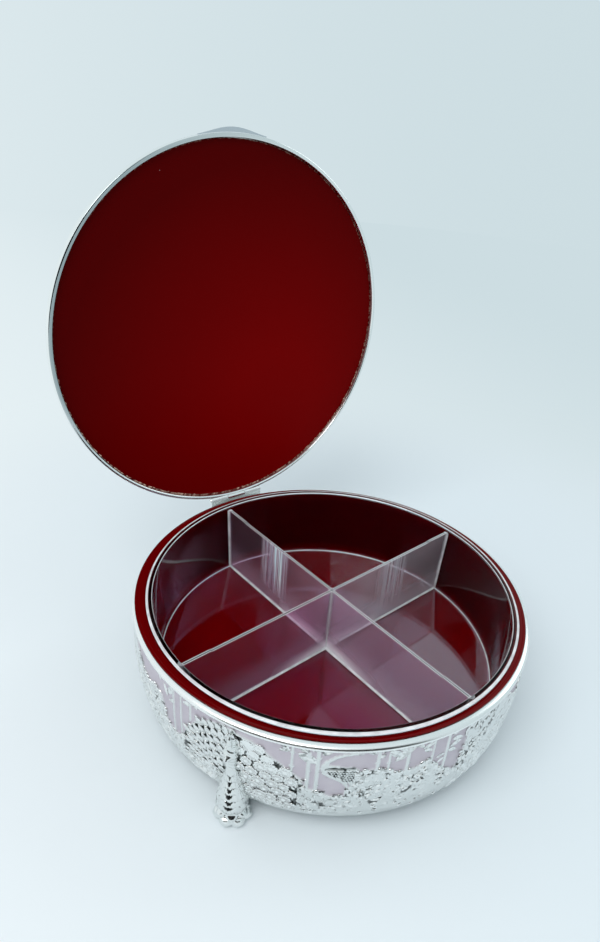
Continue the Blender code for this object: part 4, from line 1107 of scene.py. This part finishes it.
# Fillets along the divider feet, then up their crossing and where they meet the wall
low_z = TRAY_FLOOR_Z - SUNK
for index in range(2):
    turn = Matrix.Rotation(index * math.pi / 2, 3, "Z")
    for side in (-1, 1):
        edge = side * (DIVIDER_T / 2 - SUNK)
        bar = ((edge, low_z), (edge + side * FILLET, low_z), (edge, low_z + FILLET))
        offsets = [turn @ Vector((0, aside, level)) for aside, level in bar]
        add_bar(bm, turn @ Vector((-half_foot, 0, 0)), turn @ Vector((half_foot, 0, 0)), offsets)
posts = [(Vector((0, 0, 0)), DIVIDER_T / 2 + 1.3 * FILLET)]
for index in range(4):
    angle = index * math.pi / 2
    middle = Vector((math.cos(angle), math.sin(angle), 0)) * (TRAY_FOOT_R - TRAY_T)
    posts.append((middle, DIVIDER_T / 2 + FILLET))
for middle, reach in posts:
    lean = middle * ((TRAY_MOUTH_R - TRAY_FOOT_R) / TRAY_FOOT_R)
    offsets = [Vector(way) * reach for way in ((1, 0, 0), (0, 1, 0), (-1, 0, 0), (0, -1, 0))]
    foot = middle + Vector((0, 0, TRAY_FLOOR_Z - 2 * SUNK))
    head = middle + lean + Vector((0, 0, DIVIDER_TOP_Z - 1.2 * STEP_DROP))
    add_bar(bm, foot, head, offsets)
bm.to_mesh(moulded)
bm.free()
moulded.transform(Matrix.Translation((*TRAY_CENTRE, 0)) @ Matrix.Rotation(TRAY_TURN, 4, "Z"))
moulded.shade_smooth()
moulded.set_sharp_from_angle(angle=math.radians(35))
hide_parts("clear_tray")
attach(tray, "tray")


# Peacock feet
# Silver-plated castings, each a standing peacock with its back against the wall: a scalloped base of
# claws, a full breast of drooping feather rows, a slim neck, a round head with a beak and a crest.
FOOT_H = 68.5 * MM
FOOT_BASE_R = 9.3 * MM
FOOT_OUT_R = 121.5 * MM
FOOT_LEAN = 5.0 * MM
FOOT_SIDES = 90
FOOT_ROWS = 210
FEATHER_PITCH = 4.3
FEATHERS_ROUND = 9
CLAWS = 7
CLAW_TOP = 0.14
BREAST_TOP = 0.62
MARKS_FROM = 0.17
MARKS_TO = 0.56
# Half width of the foot as (share of its height, share of the base's radius)
FOOT_PROFILE = (
    (0.00, 0.90), (0.02, 1.02), (0.045, 1.08), (0.07, 0.98), (0.085, 0.90), (0.10, 0.95), (0.12, 0.92),
    (0.14, 0.86), (0.17, 0.92), (0.21, 0.92), (0.27, 0.86), (0.33, 0.77), (0.40, 0.64), (0.47, 0.50),
    (0.54, 0.39), (0.60, 0.32), (0.66, 0.29), (0.71, 0.34), (0.76, 0.42), (0.81, 0.42), (0.85, 0.33),
    (0.88, 0.26), (0.92, 0.25), (0.96, 0.22), (1.00, 0.05),
)

# Cast and silver plated: bright on the high places, black in the marks down the breast
cast, tree, shader, _, tone, _ = plate_finish("cast_silver_plate", "#E9ECEB", 0.15, 0.7, 0.04)
breast_mark_mask = add(tree, "ShaderNodeAttribute", attribute_name="hollow").outputs["Fac"]
marked = add(tree, "ShaderNodeMix", (0, breast_mark_mask), (6, tone), (7, linear("#191A1A")), data_type="RGBA")
feed(shader, ("Base Color", marked.outputs[2]))
shares, radii = zip(*FOOT_PROFILE)
for side, bearing in zip(("left", "right", "rear"), FOOT_BEARINGS):
    vertices = []
    marks = []
    for i in range(FOOT_ROWS + 1):
        share = i / FOOT_ROWS
        height = FOOT_H * share / MM
        plain = float(np.interp(share, shares, radii)) * FOOT_BASE_R
        middle = FOOT_OUT_R + FOOT_LEAN * share
        for k in range(FOOT_SIDES):
            angle = math.tau * k / FOOT_SIDES
            front = math.cos(angle)
            reach = plain
            black_share = 0.0
            if share < CLAW_TOP:
                tier = 0 if share < 0.085 else 1
                toes = abs(math.cos((CLAWS * angle + tier * math.pi) / 2)) ** 0.7
                reach += (2.3 * toes - 1.0) * MM * min(1.0, (CLAW_TOP - share) / 0.03)
            elif share < BREAST_TOP:
                fade = min(1.0, (share - CLAW_TOP) / 0.015, (BREAST_TOP - share) / 0.06)
                row_phase = (height + 1.1 * abs(math.sin(FEATHERS_ROUND * angle / 2))) / FEATHER_PITCH
                row = math.floor(row_phase)
                tip = abs(math.sin(FEATHERS_ROUND * angle / 2 + row * math.pi / 2))
                part = (height + 1.3 * (1 - tip)) / FEATHER_PITCH % 1.0
                scale = min(1.0, plain / (5.5 * MM))
                reach += (0.95 * (1 - part) ** 0.8 - 0.45) * MM * fade * scale
                reach += 0.18 * MM * fade * scale * math.sin(angle * 36)
                aside = abs(math.remainder(angle - 0.25, math.tau)) / (0.26 + 0.5 * (MARKS_TO - share))
                mark_part = (height - 1.5 * aside ** 2) / FEATHER_PITCH % 1.0
                in_mark = aside < 1 and abs(mark_part - 0.5) < 0.26 * (1.1 - aside)
                if MARKS_FROM < share < MARKS_TO and in_mark:
                    black_share = 1.0
                    reach -= 0.35 * MM
            else:
                beak = max(0.0, 1 - abs(share - 0.775) / 0.03) * max(0.0, front) ** 14
                reach += 2.4 * MM * beak
                reach += math.sin(height * 2.1 + 2 * angle) * 0.22 * MM
                if share > 0.86:
                    reach += 0.5 * MM * math.cos(3 * angle)
            out = -middle - reach * math.cos(angle)
            vertices.append((reach * math.sin(angle), out, height * MM + SOLE_Z))
            marks.append(black_share)
    foot = shaped("peacock_foot_" + side, vertices, capped_faces(FOOT_ROWS + 1, FOOT_SIDES), cast, 60)
    mark(foot.data, "hollow", marks)
    foot.data.transform(Matrix.Rotation(math.radians(bearing), 4, "Z"))
    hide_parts("foot_" + side)
    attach(foot, "bowl")


# Lid
# A spun and chased silver-plated dome on a solid polished ring, with a flat dark red acrylic disc set in
# its underside. It stands open on the hinge; its sizes are given closed and turned open at the end.
HINGE_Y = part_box("hinge_pin")[0].y + 0.9 * MM
HINGE_Z = 69.2 * MM
LID_OPEN = math.radians(94.7)
RING_T = 2.6 * MM
RING_LOW_Z = 68.3 * MM
RING_HIGH_Z = 74.5 * MM
RING_ROLL = 0.7 * MM
PANEL_R = 122.1 * MM
PANEL_FACE_Z = 71.0 * MM
PANEL_T = 2.9 * MM
GLOW_PLACE = (38 * MM, 55 * MM)
PANEL_EDGE_ROUND = 0.35 * MM
DOME_LOW_Z = 74.8 * MM
DOME_RISE = 24.7 * MM
DOME_EDGE_R = 3.0 * MM
opened = (
    Matrix.Translation((0, HINGE_Y, HINGE_Z)) @ Matrix.Rotation(-LID_OPEN, 4, "X")
    @ Matrix.Translation((0, -HINGE_Y, -HINGE_Z))
)

# The ring's face under the rim is painted grey on its upper left side, a painted darker reflection
rim_plate, tree, shader, spot, tone, _ = plate_finish("left_shaded_silver_plate", "#F4F7F6", 0.10, 2.4, 0.01)
split = add(tree, "ShaderNodeSeparateXYZ", (0, spot))
leftwards = add(tree, "ShaderNodeMapRange", (0, split.outputs["X"]), (1, 0.06), (2, -0.07))
upwards = add(tree, "ShaderNodeMapRange", (0, split.outputs["Z"]), (1, 0.11), (2, 0.17))
left_shade = add(tree, "ShaderNodeMath", (0, leftwards.outputs[0]), (1, upwards.outputs[0]), operation="MULTIPLY")
greyed = ((6, tone), (7, linear("#AAB4B6")))
left_shaded = add(tree, "ShaderNodeMix", (0, left_shade.outputs[0]), *greyed, data_type="RGBA")
feed(shader, ("Base Color", left_shaded.outputs[2]))
ring_outline = [(RIM_R - RING_T, RING_LOW_Z + RING_ROLL / 2), (RIM_R - RING_T + RING_ROLL / 2, RING_LOW_Z)]
ring_outline += arc(RIM_R - RING_ROLL, RING_LOW_Z + RING_ROLL, RING_ROLL, -90, 0, 5)
ring_outline += arc(RIM_R - RING_ROLL, RING_HIGH_Z - RING_ROLL, RING_ROLL, 0, 90, 5)
ring_outline += [(RIM_R - RING_T, RING_HIGH_Z)]
ring = turned("lid_ring", ring_outline, 256, polished, 50)
ring.data.materials.append(rim_plate)
for face in ring.data.polygons:
    inwards = face.normal.x * face.center.x + face.normal.y * face.center.y < 0
    face.material_index = 1 if face.normal.z < -0.5 or inwards else 0
ring.data.transform(opened)
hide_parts("lid_rim")
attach(ring, "lid")

# Dark red acrylic disc. A pool of painted light, red as from the cup below, lifts its lower right; specks of
# dust lie on it, and its ragged sawn edge shows pale where the film has lifted, most along the lower half
panel_red, tree, shader, spot = new_material("dark_red_panel")
glow_middle = opened @ Vector((*GLOW_PLACE, PANEL_FACE_Z))
panel_middle = opened @ Vector((0, 0, PANEL_FACE_Z))
away = add(tree, "ShaderNodeVectorMath", (0, spot), (1, glow_middle), operation="DISTANCE")
glow = add(
    tree, "ShaderNodeMapRange", (0, away.outputs["Value"]), (1, 0.165), (2, 0.035), (3, 0.0), (4, 0.9)
)
cloud = add(tree, "ShaderNodeTexNoise", (0, spot), ("Scale", 1 / (90 * MM)), ("Detail", 2.0))
glow = add(
    tree, "ShaderNodeMath", (0, cloud.outputs[0]), (1, 0.12), (2, glow.outputs[0]), operation="MULTIPLY_ADD",
    use_clamp=True,
)
dark_and_lit = ((6, linear("#460001")), (7, linear("#720001")))
tone = add(tree, "ShaderNodeMix", (0, glow.outputs[0]), *dark_and_lit, data_type="RGBA")
dust = add(tree, "ShaderNodeTexVoronoi", (0, spot), ("Scale", 1 / (16 * MM)), feature="F1")
speck = add(
    tree, "ShaderNodeMapRange", (0, dust.outputs["Distance"]), (1, 0.022), (2, 0.013), (3, 0.0), (4, 0.5)
)
clean_and_dust = ((6, tone.outputs[2]), (7, linear("#C9A3A0")))
dusty = add(tree, "ShaderNodeMix", (0, speck.outputs[0]), *clean_and_dust, data_type="RGBA")
out = add(tree, "ShaderNodeVectorMath", (0, spot), (1, panel_middle), operation="DISTANCE").outputs["Value"]
rag = add(tree, "ShaderNodeTexNoise", (0, spot), ("Scale", 1 / (2.2 * MM)), ("Detail", 3.0)).outputs[0]
ragged = add(tree, "ShaderNodeMath", (0, rag), (1, 2.2 * MM), (2, out), operation="MULTIPLY_ADD")
limits = ((1, PANEL_R + 0.45 * MM), (2, PANEL_R + 0.75 * MM))
lifted = add(tree, "ShaderNodeMapRange", (0, ragged.outputs[0]), *limits)
split = add(tree, "ShaderNodeSeparateXYZ", (0, spot))
lower = add(tree, "ShaderNodeMapRange", (0, split.outputs["Z"]), (1, 0.21), (2, 0.13), (3, 0.15), (4, 0.9))
fleck = add(tree, "ShaderNodeTexNoise", (0, spot), ("Scale", 1 / (1.9 * MM)), ("Detail", 2.0))
fleck = add(tree, "ShaderNodeMapRange", (0, fleck.outputs[0]), (1, 0.42), (2, 0.58))
for share in (lower, fleck):
    lifted = add(tree, "ShaderNodeMath", (0, lifted.outputs[0]), (1, share.outputs[0]), operation="MULTIPLY")
red_and_pale = ((6, dusty.outputs[2]), (7, linear("#FFDCC6")))
edged = add(tree, "ShaderNodeMix", (0, lifted.outputs[0]), *red_and_pale, data_type="RGBA")
feed(
    shader, ("Base Color", edged.outputs[2]), ("Roughness", 0.30), ("IOR", 1.49),
    ("Specular IOR Level", 0.02),
)
panel_outline = [
    (0, PANEL_FACE_Z), (PANEL_R - PANEL_EDGE_ROUND, PANEL_FACE_Z), (PANEL_R, PANEL_FACE_Z + PANEL_EDGE_ROUND),
    (PANEL_R, PANEL_FACE_Z + PANEL_T), (0, PANEL_FACE_Z + PANEL_T),
]
panel = turned("red_lid_panel", panel_outline, 192, panel_red, 40)
panel.data.transform(opened)
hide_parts("lid_panel")
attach(panel, "lid")

DOME_SEGMENTS = 480
DOME_ROWS = 70
DOME_INSIDE_ROWS = DOME_ROWS // 5
edge_r = RIM_R - RING_ROLL
spread = edge_r - DOME_EDGE_R
rise = DOME_RISE - DOME_EDGE_R


def dome_ring(tilt, inset):
    """Radius and height of the dome at an angle up from its edge."""
    return spread * math.cos(tilt) - inset, DOME_LOW_Z + DOME_EDGE_R + rise * math.sin(tilt) - inset


angles = np.arange(DOME_SEGMENTS) * math.tau / DOME_SEGMENTS
dome_rings = [(edge_r - 6 * MM, DOME_LOW_Z), (edge_r, DOME_LOW_Z), (edge_r, DOME_LOW_Z + SHEET)]
# The valleys between the flutes are marked hollow, which the embossed finish paints dark: painted shade
valleys = [np.zeros(3 * DOME_SEGMENTS)]
for i in range(DOME_ROWS):
    share = i / DOME_ROWS
    petals = 24 if share < 0.62 else 12
    flute = abs(math.sin(share * math.pi * 5)) * 0.5 + 0.2
    wave = np.abs(np.cos(angles * petals / 2))
    lift = wave ** 0.7 * 1.5 * flute * min(1, i / 4) * min(1, (DOME_ROWS - i) / 12)
    dome_rings.append(dome_ring(math.pi / 2 * i / DOME_ROWS, lift * MM))
    valleys.append(np.clip(1 - wave / 0.16, 0, 0.4))
for i in range(DOME_INSIDE_ROWS, -1, -1):
    dome_rings.append(dome_ring(math.pi / 2 * min(i / DOME_INSIDE_ROWS, 0.985), SHEET * 2))
valleys = np.concatenate(valleys + [np.zeros((DOME_INSIDE_ROWS + 1) * DOME_SEGMENTS)])
dome_faces = grid_faces(len(dome_rings), DOME_SEGMENTS)
dome_shell = shaped("chased_dome", ring_points(dome_rings, angles), dome_faces, embossed, 60)
mark(dome_shell.data, "bright", np.ones(len(valleys)))
mark(dome_shell.data, "hollow", valleys)
dome_shell.data.transform(opened)
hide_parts("lid_shell")
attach(dome_shell, "lid")

# Rings of leaves and rosettes up the dome: share of the way up, count, heading in degrees, size
LEAF_RINGS = (
    (0.10, 96, 60, 1.2), (0.14, 96, 120, 1.2), (0.33, 72, 60, 1.3), (0.37, 72, 120, 1.3), (0.56, 48, 60, 1.3),
    (0.60, 48, 120, 1.3), (0.82, 16, 90, 1.3),
)
ROSETTE_RINGS = ((0.24, 48, 90, 1.0), (0.47, 36, 90, 0.95), (0.72, 18, 90, 0.95), (0.92, 7, 90, 1.0))
dome_leaf = roof_leaf("dome_leaf_shape", 0.3, -0.35)
rosette = small_shape("dome_eye_shape", EYE_RINGS, 30, 1.0, 0.0, 0.09, 10)
for name, shape, bands, size in (
    ("dome_leaves", dome_leaf, LEAF_RINGS, 2.6), ("dome_rosettes", rosette, ROSETTE_RINGS, 4.2),
):
    spots = []
    for share, count, heading, ring_size in bands:
        tilt = math.pi / 2 * share
        radius, height = dome_ring(tilt, 0.0)
        slope = math.atan2(rise * math.cos(tilt), spread * math.sin(tilt))
        for i in range(count):
            angle = math.tau * (i + 0.5) / count
            out = Matrix.Rotation(angle, 3, "Z") @ Matrix.Rotation(slope, 3, "X")
            facing = out @ Matrix.Rotation(math.radians(heading), 3, "Z")
            place = (radius * math.sin(angle), -radius * math.cos(angle), height - 0.1 * MM)
            spots.append((place, facing, ring_size))
    piece = set_along(name, shape, spots, chased, size * MM, math.inf)
    piece.data.transform(opened)
    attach(piece, "lid")


# Carried-over pieces
# The hinge with its pin and rivets, the thumb tab, the base plate and the foot fixings keep their CAD
# shapes and get the same plated and steel finishes as their neighbours.

# Turned steel for the foot fixings; brushed silver plate, its tone darkened as painted shade, for the thumb
# tab
steel = plate_finish("bright_steel", "#B9BDC2", 0.28, 0.5, 0.03)[0]
brushed_and_shaded = plate_finish("brushed_and_shaded_silver_plate", "#C6CDD3", 0.22, 0.6, 0.02)[0]
for name, piece in frame["nodes"].items():
    if piece.hide_render:
        continue
    finish = polished
    if name.startswith("foot_"):
        finish = steel
    if name == "base_plate":
        finish = chased
    if "leaf" in name:
        finish = buffed
    if name == "thumb_tab":
        finish = brushed_and_shaded
    piece.data.materials.clear()
    piece.data.materials.append(finish)
